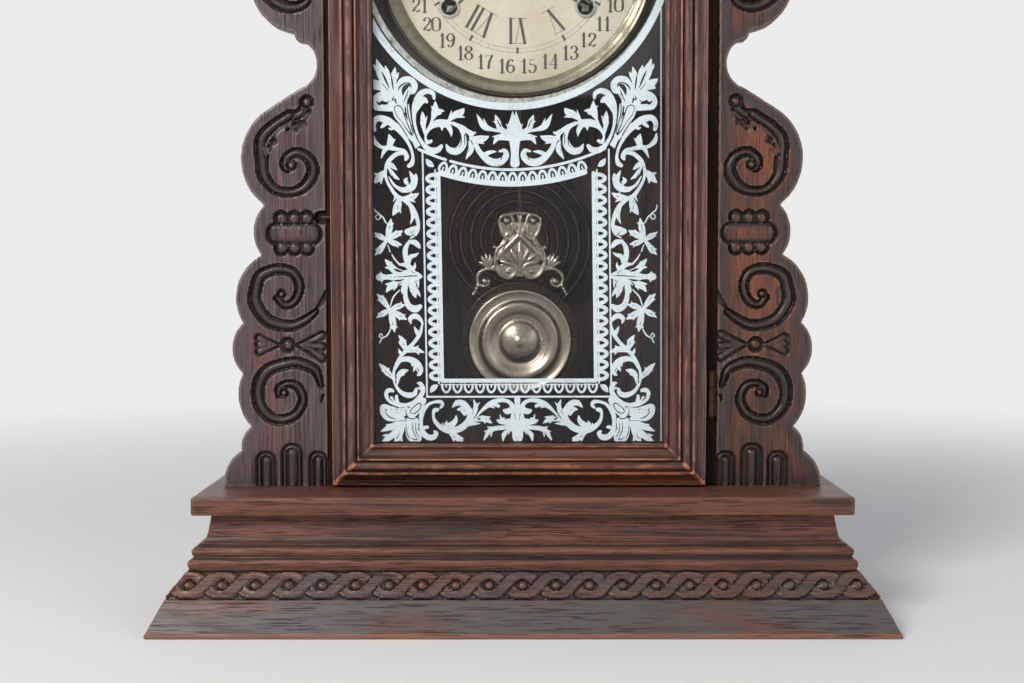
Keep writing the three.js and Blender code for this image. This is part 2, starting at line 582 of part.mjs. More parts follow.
function around(layer, margin) {
  return [layer[0] - margin, layer[1] + margin];
}

function angleTo(from, to) {
  return Math.atan2(to[1] - from[1], to[0] - from[0]);
}

// where the third side of a triangle over a and b ends, at ra from a and rb from b
function apex(a, ra, b, rb, side) {
  const d = Math.hypot(b[0] - a[0], b[1] - a[1]);
  const along = (ra * ra - rb * rb + d * d) / (2 * d);
  const off = side * Math.sqrt(ra * ra - along * along);
  const [ux, uz] = [(b[0] - a[0]) / d, (b[1] - a[1]) / d];
  return [a[0] + along * ux - off * uz, a[1] + along * uz + off * ux];
}

function offset(from, length, degrees) {
  const angle = (degrees * Math.PI) / 180;
  return [from[0] + length * Math.cos(angle), from[1] + length * Math.sin(angle)];
}

const AXES = { centre: [0, 0], timeMain: [ARBOR_X, -ARBOR_DROP], strikeMain: [-ARBOR_X, -ARBOR_DROP] };
AXES.escape = [0, ESCAPE_Z];
AXES.verge = [0, VERGE_Z];
AXES.second = apex(
  AXES.timeMain, distance(TEETH.main, TEETH.secondPinion, MODULE.main),
  AXES.centre, distance(TEETH.second, TEETH.centrePinion, MODULE.second), -1);
AXES.third = apex(
  AXES.centre, distance(TEETH.centre, TEETH.thirdPinion, MODULE.centre),
  AXES.escape, distance(TEETH.third, TEETH.escapePinion, MODULE.third), 1);
AXES.minute = offset(AXES.centre, distance(TEETH.hour, TEETH.minutePinion, MODULE.motion), -90);
AXES.strikeSecond = offset(AXES.strikeMain, distance(TEETH.main, TEETH.secondPinion, MODULE.main), -32.6);
AXES.fly = offset(AXES.strikeSecond, distance(TEETH.strikeSecond, TEETH.flyPinion, MODULE.strike), -60);
AXES.hammer = HAMMER_PIVOT;

function at(geometry, [x, z]) {
  return geometry.translate(x, 0, z);
}

const PLATE_SPAN = [FRONT_PLATE_Y[0] - 0.4, BACK_PLATE_Y[1] + 0.4];

function makeTimeTrain() {
  const main = wheel(TEETH.main, MODULE.main, 0, MAIN_Y);
  piece('time_main_wheel', at(mainWheel(main), AXES.timeMain), BRASS, movement);
  const toSecond = angleTo(AXES.timeMain, AXES.second);
  const secondPhase = meshPhase(TEETH.main, 0, TEETH.secondPinion, toSecond);
  const second = join(
    wheel(TEETH.second, MODULE.second, 0, SECOND_Y),
    sheet(teeth(TEETH.secondPinion, MODULE.main, secondPhase), [SECOND_Y[1] - 0.1, MAIN_Y[1] + 0.5]),
    barY(ARBOR_RADIUS, PLATE_SPAN),
  );
  piece('time_second_wheel', at(second, AXES.second), BRASS, movement);
  const toCentre = angleTo(AXES.second, AXES.centre);
  const centrePhase = meshPhase(TEETH.second, 0, TEETH.centrePinion, toCentre);
  const centre = join(
    wheel(TEETH.centre, MODULE.centre, 0, CENTRE_Y),
    sheet(teeth(TEETH.centrePinion, MODULE.second, centrePhase), around(SECOND_Y, 0.5)),
    sheet(teeth(TEETH.cannon, MODULE.motion, 0), CANNON_Y),
    barY(CENTRE_ARBOR_RADIUS, [-4, PLATE_SPAN[1]], 0, 0, 12),
  );
  piece('centre_wheel', centre, BRASS, movement);
  const toThird = angleTo(AXES.centre, AXES.third);
  const thirdPhase = meshPhase(TEETH.centre, 0, TEETH.thirdPinion, toThird);
  const third = join(
    wheel(TEETH.third, MODULE.third, 0, SECOND_Y),
    sheet(teeth(TEETH.thirdPinion, MODULE.centre, thirdPhase), around(CENTRE_Y, 0.4)),
    barY(ARBOR_RADIUS, PLATE_SPAN),
  );
  piece('third_wheel', at(third, AXES.third), BRASS, movement);
  const escapePhase = meshPhase(TEETH.third, 0, TEETH.escapePinion, angleTo(AXES.third, AXES.escape));
  const escape = join(
    sheet(escapeOutline(), ESCAPE_Y),
    sheet(teeth(TEETH.escapePinion, MODULE.third, escapePhase), around(SECOND_Y, 0.4)),
    barY(ARBOR_RADIUS, [ESCAPE_Y[0] - 0.3, PLATE_SPAN[1]]),
  );
  piece('escape_wheel', at(escape, AXES.escape), BRASS, movement);
}

function escapeOutline() {
  const pitch = (2 * Math.PI) / TEETH.escape;
  const root = ESCAPE_RADIUS - 2;
  return Array.from({ length: TEETH.escape }, (_, i) => i * pitch).flatMap((angle) => [
    [ESCAPE_RADIUS * Math.cos(angle), ESCAPE_RADIUS * Math.sin(angle)],
    [root * Math.cos(angle + 0.2 * pitch), root * Math.sin(angle + 0.2 * pitch)],
  ]);
}

// a main wheel with its click, bored for the winding arbor
function mainWheel(blank) {
  const click = box([-3, 3], [MAIN_Y[0] - CLICK, MAIN_Y[0] + 0.5], [9.4, 12.4]);
  return cut(join(blank, click), barY(boreRadius(WINDING_ARBOR_RADIUS), around(MAIN_Y, 1)));
}

function windingArbor() {
  const [tip, root, lean] = [8.4, 6.8, 0.05];
  const ratchet = Array.from({ length: TEETH.ratchet }, (_, i) => (i * 2 * Math.PI) / TEETH.ratchet)
    .flatMap((angle) => [
      [tip * Math.cos(angle), tip * Math.sin(angle)],
      [root * Math.cos(angle + lean), root * Math.sin(angle + lean)],
    ]);
  return join(
    barY(WINDING_ARBOR_RADIUS, [FRONT_PLATE_Y[0] - 6, PLATE_SPAN[1]]),
    box([-1.6, 1.6], [DIAL_BACK + 2.3, FRONT_PLATE_Y[0] - 5], [-1.6, 1.6]),
    sheet(ratchet, [MAIN_Y[0] - CLICK, MAIN_Y[0] - GAP]),
    barY(MAINSPRING[0] - GAP, around(SPRING_Y, -0.5), 0, 0, 16),
  );
}

function makeSprings() {
  const [inner, outer] = MAINSPRING;
  const section = [[inner / Math.cos(Math.PI / 24), SPRING_Y[0]], [outer, SPRING_Y[0]],
    [outer, SPRING_Y[1]], [inner / Math.cos(Math.PI / 24), SPRING_Y[1]]];
  piece('time_mainspring', turned(section, 24, ...AXES.timeMain), STEEL, movement);
  piece('strike_mainspring', turned(section, 24, ...AXES.strikeMain), STEEL, movement);
  piece('time_winding_arbor', at(windingArbor(), AXES.timeMain), STEEL, movement);
  piece('strike_winding_arbor', at(windingArbor(), AXES.strikeMain), STEEL, movement);
}

function makeStrikeTrain() {
  const main = wheel(TEETH.main, MODULE.main, 0, MAIN_Y);
  piece('strike_main_wheel', at(mainWheel(main), AXES.strikeMain), BRASS, movement);
  const toSecond = angleTo(AXES.strikeMain, AXES.strikeSecond);
  const secondPhase = meshPhase(TEETH.main, 0, TEETH.secondPinion, toSecond);
  const pins = ring(11.5, 8).map(([x, z]) => barY(0.6, [SECOND_Y[0] - 1.2, SECOND_Y[0] + 0.4], x, z, 6));
  const second = join(
    wheel(TEETH.strikeSecond, MODULE.strike, 0, SECOND_Y, 0),
    sheet(teeth(TEETH.secondPinion, MODULE.main, secondPhase), [SECOND_Y[1] - 0.1, MAIN_Y[1] + 0.5]),
    barY(ARBOR_RADIUS, PLATE_SPAN), ...pins,
  );
  piece('strike_second_wheel', at(second, AXES.strikeSecond), BRASS, movement);
  const toFly = angleTo(AXES.strikeSecond, AXES.fly);
  const flyPhase = meshPhase(TEETH.strikeSecond, 0, TEETH.flyPinion, toFly);
  const fly = join(
    sheet(teeth(TEETH.flyPinion, MODULE.strike, flyPhase), around(SECOND_Y, 0.4)),
    barY(ARBOR_RADIUS, PLATE_SPAN),
    box([-7.5, 7.5], [35, 46], [-0.4, 0.4]),
  );
  piece('fly', at(fly, AXES.fly), BRASS, movement);
}

function makeMotionWork() {
  const minutePhase = meshPhase(TEETH.cannon, 0, TEETH.minute, -Math.PI / 2);
  const minute = cut(join(
    sheet(teeth(TEETH.minute, MODULE.motion, minutePhase), CANNON_Y),
    sheet(teeth(TEETH.minutePinion, MODULE.motion, 0), [HOUR_Y[0], CANNON_Y[0] + 0.1]),
  ), barY(boreRadius(ARBOR_RADIUS), around([HOUR_Y[0], CANNON_Y[1]], 1)));
  piece('minute_wheel', at(minute, AXES.minute), BRASS, movement);
  const hourPhase = meshPhase(TEETH.minutePinion, 0, TEETH.hour, Math.PI / 2);
  const bore = boreRadius(CENTRE_ARBOR_RADIUS, 16);
  const pipe = CENTRE_ARBOR_RADIUS + GAP + PIPE_WALL;
  const hour = cut(
    join(sheet(teeth(TEETH.hour, MODULE.motion, hourPhase), HOUR_Y), barY(pipe, [1.2, HOUR_Y[1]], 0, 0, 16)),
    barY(bore, around([1.2, HOUR_Y[1]], 1), 0, 0, 16));
  piece('hour_wheel', hour, BRASS, movement);
  const star = Array.from({ length: 2 * TEETH.calendar }, (_, i) => {
    const r = CALENDAR_RADIUS - (i % 2 ? 1.8 : 0);
    const angle = Math.PI / 2 + (i * Math.PI) / TEETH.calendar;
    return [r * Math.cos(angle), r * Math.sin(angle)];
  });
  const outer = pipe + GAP + PIPE_WALL;
  const calendar = cut(
    join(sheet(star, CALENDAR_Y), barY(outer, [4.2, CALENDAR_Y[1]], 0, 0, 16)),
    barY(boreRadius(pipe, 16), around([4.2, CALENDAR_Y[1]], 1), 0, 0, 16));
  piece('calendar_wheel', calendar, BRASS, movement);
}

// ---------------------------------------------------------------- plates, posts and escapement
function makePlates() {
  const outline = [
    [PLATE.left, PLATE.bottom], [PLATE.right, PLATE.bottom],
    [PLATE.right, PLATE.top], [PLATE.left, PLATE.top],
  ];
  const holeAt = (radius) => ([x, z]) => ring(boreRadius(radius), 10, x, z, Math.PI / 10);
  const arbors = ['second', 'third', 'strikeSecond', 'fly', 'hammer', 'escape'].map((name) => AXES[name]);
  const shared = [
    ...arbors.map(holeAt(ARBOR_RADIUS)),
    ...[AXES.timeMain, AXES.strikeMain].map(holeAt(WINDING_ARBOR_RADIUS)),
    holeAt(CENTRE_ARBOR_RADIUS)(AXES.centre),
  ];
  const corners = [PLATE.left + PILLAR_INSET, PLATE.right - PILLAR_INSET]
    .flatMap((x) => [PLATE.bottom + PILLAR_INSET, PLATE.top - PILLAR_INSET].map((z) => [x, z]));
  const pillarHoles = corners.map(holeAt(1.8));
  const studs = [
    barY(ARBOR_RADIUS, [HOUR_Y[0] - 0.3, FRONT_PLATE_Y[0] + 0.5], ...AXES.minute),
    barY(ARBOR_RADIUS, [ESCAPE_Y[0] - 0.2, FRONT_PLATE_Y[0] + 0.5], ...AXES.verge),
  ];
  const frontPlate = sheet(outline, FRONT_PLATE_Y, [...shared, ...pillarHoles]);
  piece('movement_front_plate', join(frontPlate, ...studs), BRASS, movement);
  const pillars = corners.map(([x, z]) => turned([
    [0, FRONT_PLATE_Y[0] - 2.6], [1.8, FRONT_PLATE_Y[0] - 2.6], [1.8, FRONT_PLATE_Y[1] + 0.1],
    [3, FRONT_PLATE_Y[1] + 0.1], [3, BACK_PLATE_Y[1]], [4, BACK_PLATE_Y[1]], [4, BOX_BACK],
    [0, BOX_BACK],
  ], 10, x, z));
  const backPlate = sheet(outline, BACK_PLATE_Y, shared);
  piece('movement_back_plate', join(backPlate, ...pillars), BRASS, movement);
  const post = barY(2.7, [ROD_Y - 3, FRONT_PLATE_Y[0]], 0, SUSPENSION_Z, 12);
  const slit = box([-0.6, 0.6], [ROD_Y - 4, ROD_Y + 2], [SUSPENSION_Z - 4, SUSPENSION_Z + 4]);
  piece('suspension_post', cut(post, slit), BRASS, movement);
}

function makeVerge() {
  const [, z] = AXES.verge;
  const strip = sheet([
    [-10.4, z - 3.6], [-9.2, z - 4.2], [0, z - 1.4], [9.2, z - 4.2], [10.4, z - 3.6], [0, z + 2.2],
  ], ESCAPE_Y);
  const crutchY = [ESCAPE_Y[0] - 1.2, ESCAPE_Y[0] - 0.4];
  const prongZ = [CRUTCH_Z - 0.8, CRUTCH_Z + 0.8];
  const prong = (x) => box([x - 0.45, x + 0.45], [ROD_Y - 1.6, crutchY[1]], prongZ);
  const reach = ROD_RADIUS + GAP + 0.45;
  const verge = cut(join(
    strip,
    barY(2.6, [crutchY[0], ESCAPE_Y[1]], 0, z, 12),
    box([-0.8, 0.8], crutchY, [CRUTCH_Z - 0.8, z]),
    box([-reach, reach], crutchY, prongZ),
    prong(-reach), prong(reach),
  ), barY(boreRadius(ARBOR_RADIUS), around([crutchY[0], ESCAPE_Y[1]], 1), 0, z));
  piece('verge', verge, STEEL, movement);
}

function makePendulum() {
  const bobZ = BOB_Z - DIAL_Z;
  const shift = BOB.x - DIAL_X;
  const points = [
    [0, SUSPENSION_Z - 9], [0, 21], [ROD_CRANK, 12], [ROD_CRANK, -12], [shift, -23], [shift, bobZ - 31],
  ].map(([x, z]) => new THREE.Vector3(x, ROD_Y, z));
  const section = new THREE.Shape(ring(ROD_RADIUS, 6).map(([x, y]) => new THREE.Vector2(x, y)));
  const wire = points.slice(1).map((p, i) => link(points[i], p, section));
  const strip = box([-0.2, 0.2], [ROD_Y - 0.9, ROD_Y + 0.9], [SUSPENSION_Z - 10, SUSPENSION_Z + 3.4]);
  const tee = box([-1.7, 1.7], [ROD_Y - 1.8, ROD_Y + 1.8], [SUSPENSION_Z + 3.1, SUSPENSION_Z + 4.1]);
  piece('pendulum_rod', join(strip, tee, ...wire), STEEL, movement);
  const face = BOB_PROFILE.map(([r, h]) => [r, BOB.back - h]);
  face.push([0, BOB.back]);
  const lug = (z) => cut(
    box([-2.4, 2.4], [BOB.back - 0.5, ROD_Y + 1.9], [z - 1.5, z + 1.5]),
    barZ(boreRadius(ROD_RADIUS), [z - 3, z + 3], 0, ROD_Y),
  );
  const bob = join(turned(face, 32), lug(4), lug(-23));
  piece('pendulum_bob', bob.translate(BOB.x, 0, BOB_Z), NICKEL);
  const nut = cut(
    barZ(RATING_NUT_RADIUS, [-29, -26], 0, ROD_Y, 12),
    barZ(boreRadius(ROD_RADIUS), [-31, -24], 0, ROD_Y));
  piece('rating_nut', nut.translate(BOB.x, 0, BOB_Z), BRASS);
}

// a straight length of wire, run a little past its ends so that bends join
function link(from, to, section) {
  const past = new THREE.Vector3().subVectors(to, from).setLength(ROD_RADIUS / 2);
  const path = new THREE.LineCurve3(from.clone().sub(past), to.clone().add(past));
  return new THREE.ExtrudeGeometry(section, { steps: 1, extrudePath: path, bevelEnabled: false });
}

// the cast ornament: a lyre of two scrolls with fans and volutes at its sides
const ORNAMENT_EDGE = [ // right half, from the top centre down, heights above the bob's centre
  [0, 70], [9.5, 70.8], [13, 67.5], [13, 62.5], [9.6, 56.5], [9, 52.5], [11, 47], [14.5, 44.5], [17.8, 46.5],
  [18.5, 41.5], [23, 41.5], [24, 37.5], [24.4, 33], [26, 29], [30, 21.5],
];

function makeOrnament() {
  const reach = BOB.radius + GAP;
  const right = ORNAMENT_EDGE.map(([x, z]) => [x, (z * ORNAMENT_HEIGHT) / ORNAMENT_EDGE[1][1]]);
  const left = right.slice(1).reverse().map(([x, z]) => [-x, z]);
  const blank = sheet([...right, [10, 20], [-10, 20], ...left], ORNAMENT_Y);
  const seat = barY(reach, around(ORNAMENT_Y, 1), 0, 0, 48);
  const piercing = (points) => sheet(points, around(ORNAMENT_Y, 1));
  const plate = cut(blank, seat,
    piercing([[-1.6, 60], [0, 56.5], [1.6, 60], [0, 65.5]]),
    piercing([[5.6, 41], [9.2, 46], [6.6, 50], [4.2, 47]]),
    piercing([[-4.2, 47], [-6.6, 50], [-9.2, 46], [-5.6, 41]]),
    piercing([[12.6, 36], [16.6, 35], [17.6, 38.6], [13.6, 40.4]]),
    piercing([[-13.6, 40.4], [-17.6, 38.6], [-16.6, 35], [-12.6, 36]]));
  const tab = box([-4.5, 4.5], [BOB.back + 0.05, BOB.back + 0.75], [20, 40]);
  piece('pendulum_ornament', join(plate, tab).translate(BOB.x, 0, BOB_Z), NICKEL);
}

// ---------------------------------------------------------------- gong and hammer
function gongPoints() {
  const lead = 2 * GONG.wire;
  const boss = 4;
  const points = [[boss + GAP, -GONG.outer], [boss + GAP + lead, -GONG.outer]];
  const start = Math.atan2(-GONG.outer, boss + GAP + lead);
  const steps = GONG.turns * LOOP_STEPS;
  const first = Math.hypot(boss + GAP + lead, GONG.outer);
  for (let i = 1; i <= steps; i += 1) {
    const radius = first - (GONG.pitch * i) / LOOP_STEPS;
    const angle = start + (i * 2 * Math.PI) / LOOP_STEPS;
    points.push([radius * Math.cos(angle), radius * Math.sin(angle)]);
  }
  const [a, b] = points.slice(-2);
  const length = Math.hypot(b[0] - a[0], b[1] - a[1]);
  points.push([b[0] + ((b[0] - a[0]) * lead) / length, b[1] + ((b[1] - a[1]) * lead) / length]);
  return points;
}

// one unbroken tube in the plane of the spiral, its rings square to the route
function spiralTube(points, radius, sides) {
  const positions = [];
  const index = [];
  points.forEach(([x, z], i) => {
    const [x0, z0] = points[Math.max(i - 1, 0)];
    const [x1, z1] = points[Math.min(i + 1, points.length - 1)];
    const length = Math.hypot(x1 - x0, z1 - z0);
    const [nx, nz] = [-(z1 - z0) / length, (x1 - x0) / length];
    for (let k = 0; k < sides; k += 1) {
      const angle = (k * 2 * Math.PI) / sides;
      const out = radius * Math.cos(angle);
      positions.push(x + nx * out, radius * Math.sin(angle), z + nz * out);
    }
  });
  for (let i = 0; i < points.length - 1; i += 1) {
    for (let k = 0; k < sides; k += 1) {
      const [a, b] = [i * sides + k, i * sides + ((k + 1) % sides)];
      index.push(a, b + sides, b, a, a + sides, b + sides);
    }
  }
  const last = (points.length - 1) * sides;
  for (let k = 1; k < sides - 1; k += 1) index.push(0, k, k + 1, last, last + k + 1, last + k);
  const geometry = new THREE.BufferGeometry();
  geometry.setAttribute('position', new THREE.BufferAttribute(new Float32Array(positions), 3));
  geometry.setIndex(index);
  return geometry;
}

// the least clear space between parts of the route that aren't neighbours
function leastGap(points, radius) {
  let least = Infinity;
  const apart = LOOP_STEPS / 2;
  for (let i = 0; i < points.length; i += 1) {
    for (let j = i + apart; j < points.length; j += 1) {
      const apartBy = Math.hypot(points[i][0] - points[j][0], points[i][1] - points[j][1]);
      least = Math.min(least, apartBy - 2 * radius);
    }
  }
  return least;
}

function makeGong() {
  const route = gongPoints();
  const clear = leastGap(route, GONG.wire);
  console.log(`gong coil: ${GONG.turns} turns, least gap to itself ${clear.toFixed(2)} mm`);
  const coil = spiralTube(route, GONG.wire, LOOP_SIDES).translate(GONG.x, GONG_Y, GONG_Z);
  piece('gong_coil', coil, STEEL);
  const bossZ = GONG_Z - GONG.outer;
  const column = new THREE.LatheGeometry([
    [0, FLOOR], [GONG_FOOT, FLOOR], [GONG_FOOT, FLOOR + 5], [6, FLOOR + 12], [4, FLOOR + 30],
    [3.4, bossZ - 2], [0, bossZ - 2],
  ].map(([r, z]) => new THREE.Vector2(r, z)), 16).rotateX(Math.PI / 2).translate(GONG.x, GONG_Y, 0);
  const boss = box([GONG.x - 4, GONG.x + 4], [GONG_Y - 4, GONG_Y + 4], [bossZ - 4, bossZ + 4]);
  piece('gong_base', join(column, boss), IRON);
}

function makeHammer() {
  const angle = (HAMMER_ANGLE * Math.PI) / 180;
  const away = GONG.outer + 2 * GONG.wire + HAMMER_HEAD + 0.7;
  const head = [GONG.x - DIAL_X + away * Math.cos(angle), GONG_Z - DIAL_Z + away * Math.sin(angle)];
  const [px, pz] = AXES.hammer;
  const arm = new THREE.Vector2(head[0] - px, head[1] - pz);
  const length = arm.length();
  const tilt = Math.atan2(arm.x, -arm.y);
  const rod = box([-0.9, 0.9], [GONG_Y - 0.9, GONG_Y + 0.9], [-length, 0]).rotateY(-tilt);
  const hub = barY(3, [GONG_Y - 1.6, GONG_Y + 1.6], 0, 0, 12);
  const mallet = barY(HAMMER_HEAD, [GONG_Y - 5, GONG_Y + 5], arm.x, arm.y, 16);
  const tail = box([-1, 1], [SECOND_Y[0] - 1, SECOND_Y[0] - 0.3], [0, 6.5]);
  const hammer = join(rod, hub, mallet, tail, barY(ARBOR_RADIUS, PLATE_SPAN));
  piece('hammer', at(hammer, [px, pz]), STEEL, movement);
}

makeBase();
makeCase();
makeWingsAndCrest();
makeDoor();
makeHinges();
makeDial();
makeHands();
makePlates();
makeTimeTrain();
makeSprings();
makeStrikeTrain();
makeMotionWork();
makeVerge();
makePendulum();
makeOrnament();
makeGong();
makeHammer();

export default clock;
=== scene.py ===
"""The looks of a pressed-oak shelf clock: carved wings and crest, woven band on the base, printed glass door,
calendar dial, nickel pendulum."""

import math

import bpy
import numpy as np
from mathutils import Matrix, Vector


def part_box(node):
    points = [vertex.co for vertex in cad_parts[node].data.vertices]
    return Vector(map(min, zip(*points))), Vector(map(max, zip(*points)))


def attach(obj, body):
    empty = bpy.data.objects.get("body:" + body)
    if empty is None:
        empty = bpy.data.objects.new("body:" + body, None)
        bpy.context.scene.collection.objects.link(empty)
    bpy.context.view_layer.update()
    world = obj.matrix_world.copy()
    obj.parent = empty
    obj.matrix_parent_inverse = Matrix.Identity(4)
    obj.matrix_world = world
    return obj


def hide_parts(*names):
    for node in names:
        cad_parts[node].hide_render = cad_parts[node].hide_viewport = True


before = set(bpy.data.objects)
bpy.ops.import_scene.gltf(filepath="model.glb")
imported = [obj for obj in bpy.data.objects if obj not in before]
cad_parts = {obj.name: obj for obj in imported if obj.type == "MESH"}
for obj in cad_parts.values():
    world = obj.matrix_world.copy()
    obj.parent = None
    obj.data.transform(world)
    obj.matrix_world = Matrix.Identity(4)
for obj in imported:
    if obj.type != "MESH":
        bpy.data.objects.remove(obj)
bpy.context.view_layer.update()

MM = 0.001
# Places are in millimetres, with y running back into the case. Centres are (x, z).
GLASS_Y, BOARD_FRONT, BOARD_BACK, DIAL_FRONT = -7.72, -6.0, 3.0, 8.0
DIAL_CENTRE, BOB_CENTRE = (-2.2, 353.7), (-1.1, 145.4)
HALF_WIDTH, HALF_DEPTH = 190.45, 62.0


# ---------------------------------------------------------------- lines and shapes on a flat sheet

def spline(points, step=0.5):
    """Smooth line through points of any width of row, sampled about every step millimetres."""
    p = np.asarray(points, float)
    if len(p) < 3:
        n = max(2, int(np.linalg.norm((p[-1] - p[0])[:2]) / step) + 2)
        return p[0] + (p[-1] - p[0]) * np.linspace(0, 1, n)[:, None]
    closed = np.allclose(p[0], p[-1])
    a = np.vstack([p[-2] if closed else 2 * p[0] - p[1], p, p[1] if closed else 2 * p[-1] - p[-2]])
    out = []
    for i in range(1, len(a) - 2):
        n = max(2, int(math.ceil(np.linalg.norm((a[i + 1] - a[i])[:2]) / step)))
        t = np.linspace(0, 1, n, endpoint=False)[:, None]
        p0, p1, p2, p3 = a[i - 1], a[i], a[i + 1], a[i + 2]
        out.append(0.5 * (2 * p1 + (p2 - p0) * t + (2 * p0 - 5 * p1 + 4 * p2 - p3) * t ** 2
                          + (3 * p1 - p0 - 3 * p2 + p3) * t ** 3))
    return np.vstack(out + [a[-2:-1]])


def arc(cx, cz, r, a0, a1, n=24):
    t = np.radians(np.linspace(a0, a1, n))
    return np.column_stack([cx + r * np.cos(t), cz + r * np.sin(t)])


class Sheet:
    """A square grid that shapes are drawn on. field is how far a point lies inside a shape, in millimetres."""

    def __init__(self, x0, x1, z0, z1, step, low=-6.0):
        self.step = step
        self.x = np.arange(x0, x1 + step, step)
        self.z = np.arange(z0, z1 + step, step)
        self.field = np.full((len(self.x), len(self.z)), low)

    def block(self, cx, cz, r):
        i0, i1 = np.searchsorted(self.x, [cx - r, cx + r])
        k0, k1 = np.searchsorted(self.z, [cz - r, cz + r])
        if i0 >= i1 or k0 >= k1:
            return None
        d = np.hypot(self.x[i0:i1, None] - cx, self.z[None, k0:k1] - cz)
        return (slice(i0, i1), slice(k0, k1)), d

    def stroke(self, points, width, cut=False):
        """A round-ended stroke. width is its half-width, or one for each point, smoothed along it."""
        p = np.asarray(points, float)
        w = np.broadcast_to(np.asarray(width, float), (len(p),)) if np.ndim(width) else np.full(len(p), width)
        rows = spline(np.column_stack([p, w]), max(self.step, 0.35))
        for cx, cz, w in rows:
            if w <= 0.02:
                continue
            found = self.block(cx, cz, w + 2.5 * self.step)
            if found:
                where, d = found
                old = self.field[where]
                self.field[where] = np.minimum(old, d - w) if cut else np.maximum(old, w - d)

    def fill(self, polygon):
        """The inside of a closed outline."""
        p = np.asarray(polygon, float)
        inside = point_in(p, self.x[:, None], self.z[None, :])
        edge = Sheet.__new__(Sheet)
        edge.step, edge.x, edge.z = self.step, self.x, self.z
        edge.field = np.full(self.field.shape, -3 * self.step)
        edge.stroke(densify(p, self.step * .6), 0.03)
        d = np.clip(-edge.field + 0.03, 0, None)
        self.field = np.maximum(self.field, np.where(inside, d, -d))

    def mesh(self):
        """Points (x, z) and faces of all that lies inside, with its edge where the field crosses zero."""
        f = np.where(np.abs(self.field) < 1e-4, 1e-4, self.field)
        inside = f > 0
        ids = -np.ones(f.shape, int)
        ids[inside] = np.arange(inside.sum())
        gx, gz = np.meshgrid(self.x, self.z, indexing="ij")
        pts = [np.column_stack([gx[inside], gz[inside]])]
        count = len(pts[0])
        cx = inside[1:] != inside[:-1]
        i, k = np.nonzero(cx)
        t = f[i, k] / (f[i, k] - f[i + 1, k])
        pts.append(np.column_stack([self.x[i] + t * self.step, self.z[k]]))
        idx = -np.ones(cx.shape, int)
        idx[cx] = count + np.arange(len(i))
        count += len(i)
        cz = inside[:, 1:] != inside[:, :-1]
        i, k = np.nonzero(cz)
        t = f[i, k] / (f[i, k] - f[i, k + 1])
        pts.append(np.column_stack([self.x[i], self.z[k] + t * self.step]))
        idz = -np.ones(cz.shape, int)
        idz[cz] = count + np.arange(len(i))
        whole = inside[:-1, :-1] & inside[1:, :-1] & inside[1:, 1:] & inside[:-1, 1:]
        some = (inside[:-1, :-1] | inside[1:, :-1] | inside[1:, 1:] | inside[:-1, 1:]) & ~whole
        i, k = np.nonzero(whole)
        faces = np.column_stack([ids[i, k], ids[i + 1, k], ids[i + 1, k + 1], ids[i, k + 1]]).tolist()
        rim = []
        for i, k in zip(*np.nonzero(some)):
            corner = [(i, k), (i + 1, k), (i + 1, k + 1), (i, k + 1)]
            cross = [idx[i, k], idz[i + 1, k], idx[i, k + 1], idz[i, k]]
            face = []
            for n in range(4):
                if inside[corner[n]]:
                    face.append(int(ids[corner[n]]))
                if cross[n] >= 0:
                    face.append(int(cross[n]))
            if len(face) < 3:
                continue
            faces.append(face)
            edge = {int(c) for c in cross if c >= 0}
            for a, b in zip(face, face[1:] + face[:1]):
                if a in edge and b in edge:
                    rim.append((a, b))
        return np.vstack(pts), faces, rim


def densify(p, step):
    """A closed outline with a point about every step millimetres."""
    out = []
    for a, b in zip(p, np.vstack([p[1:], p[:1]])):
        n = max(1, int(np.linalg.norm(b - a) / step))
        out.append(a + (b - a) * np.linspace(0, 1, n, endpoint=False)[:, None])
    return np.vstack(out + [p[:1]])


def point_in(p, x, z):
    """Whether the points (x, z) lie inside the outline p."""
    inside = np.zeros(np.broadcast(x, z).shape, bool)
    for (ax, az), (bx, bz) in zip(p, np.roll(p, -1, 0)):
        if az == bz:
            continue
        crosses = ((az > z) != (bz > z)) & (x < (bx - ax) * (z - az) / (bz - az) + ax)
        inside ^= crosses
    return inside


def face_loops(node, y=None):
    """The closed edges, as rows of (x, z), of a CAD board's flat face at y, or of its front."""
    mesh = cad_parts[node].data
    co = np.array([v.co for v in mesh.vertices]) * 1000
    y = co[:, 1].min() if y is None else y
    edges = {}
    for poly in mesh.polygons:
        if np.abs(co[list(poly.vertices), 1] - y).max() < 0.02:
            keys = [tuple(np.round(co[v, [0, 2]], 2)) for v in poly.vertices]
            edges.update(dict.fromkeys(zip(keys, keys[1:] + keys[:1])))
    after = {a: b for a, b in edges if (b, a) not in edges}
    loops = []
    while after:
        loop, at = [], next(iter(after))
        while at in after:
            loop.append(at)
            at = after.pop(at)
        loops.append(np.array(loop))
    return loops


def front_outline(node, step=0.8):
    """The outline of a CAD board's front face, smoothed between its corners: the largest loop."""
    area = lambda l: abs(np.sum(l[:, 0] * np.roll(l[:, 1], -1) - l[:, 1] * np.roll(l[:, 0], -1)))
    loop = max(face_loops(node), key=area)
    back, ahead = loop - np.roll(loop, 1, 0), np.roll(loop, -1, 0) - loop
    turn = np.arctan2(back[:, 0] * ahead[:, 1] - back[:, 1] * ahead[:, 0], (back * ahead).sum(1))
    turn = np.abs(np.degrees(turn))
    longest = np.maximum(np.linalg.norm(back, axis=1), np.linalg.norm(ahead, axis=1))
    corner = (turn > 38) | ((longest > 20) & (turn > 12))
    if not corner.any():
        return spline(np.vstack([loop, loop[:1]]), step)[:-1]
    first = int(np.nonzero(corner)[0][0])
    loop, corner = np.roll(loop, -first, 0), np.roll(corner, -first)
    stops = list(np.nonzero(corner)[0]) + [len(loop)]
    whole = np.vstack([loop, loop[:1]])
    return np.vstack([spline(whole[a:b + 1], step)[:-1] for a, b in zip(stops, stops[1:])])


# ---------------------------------------------------------------- meshes

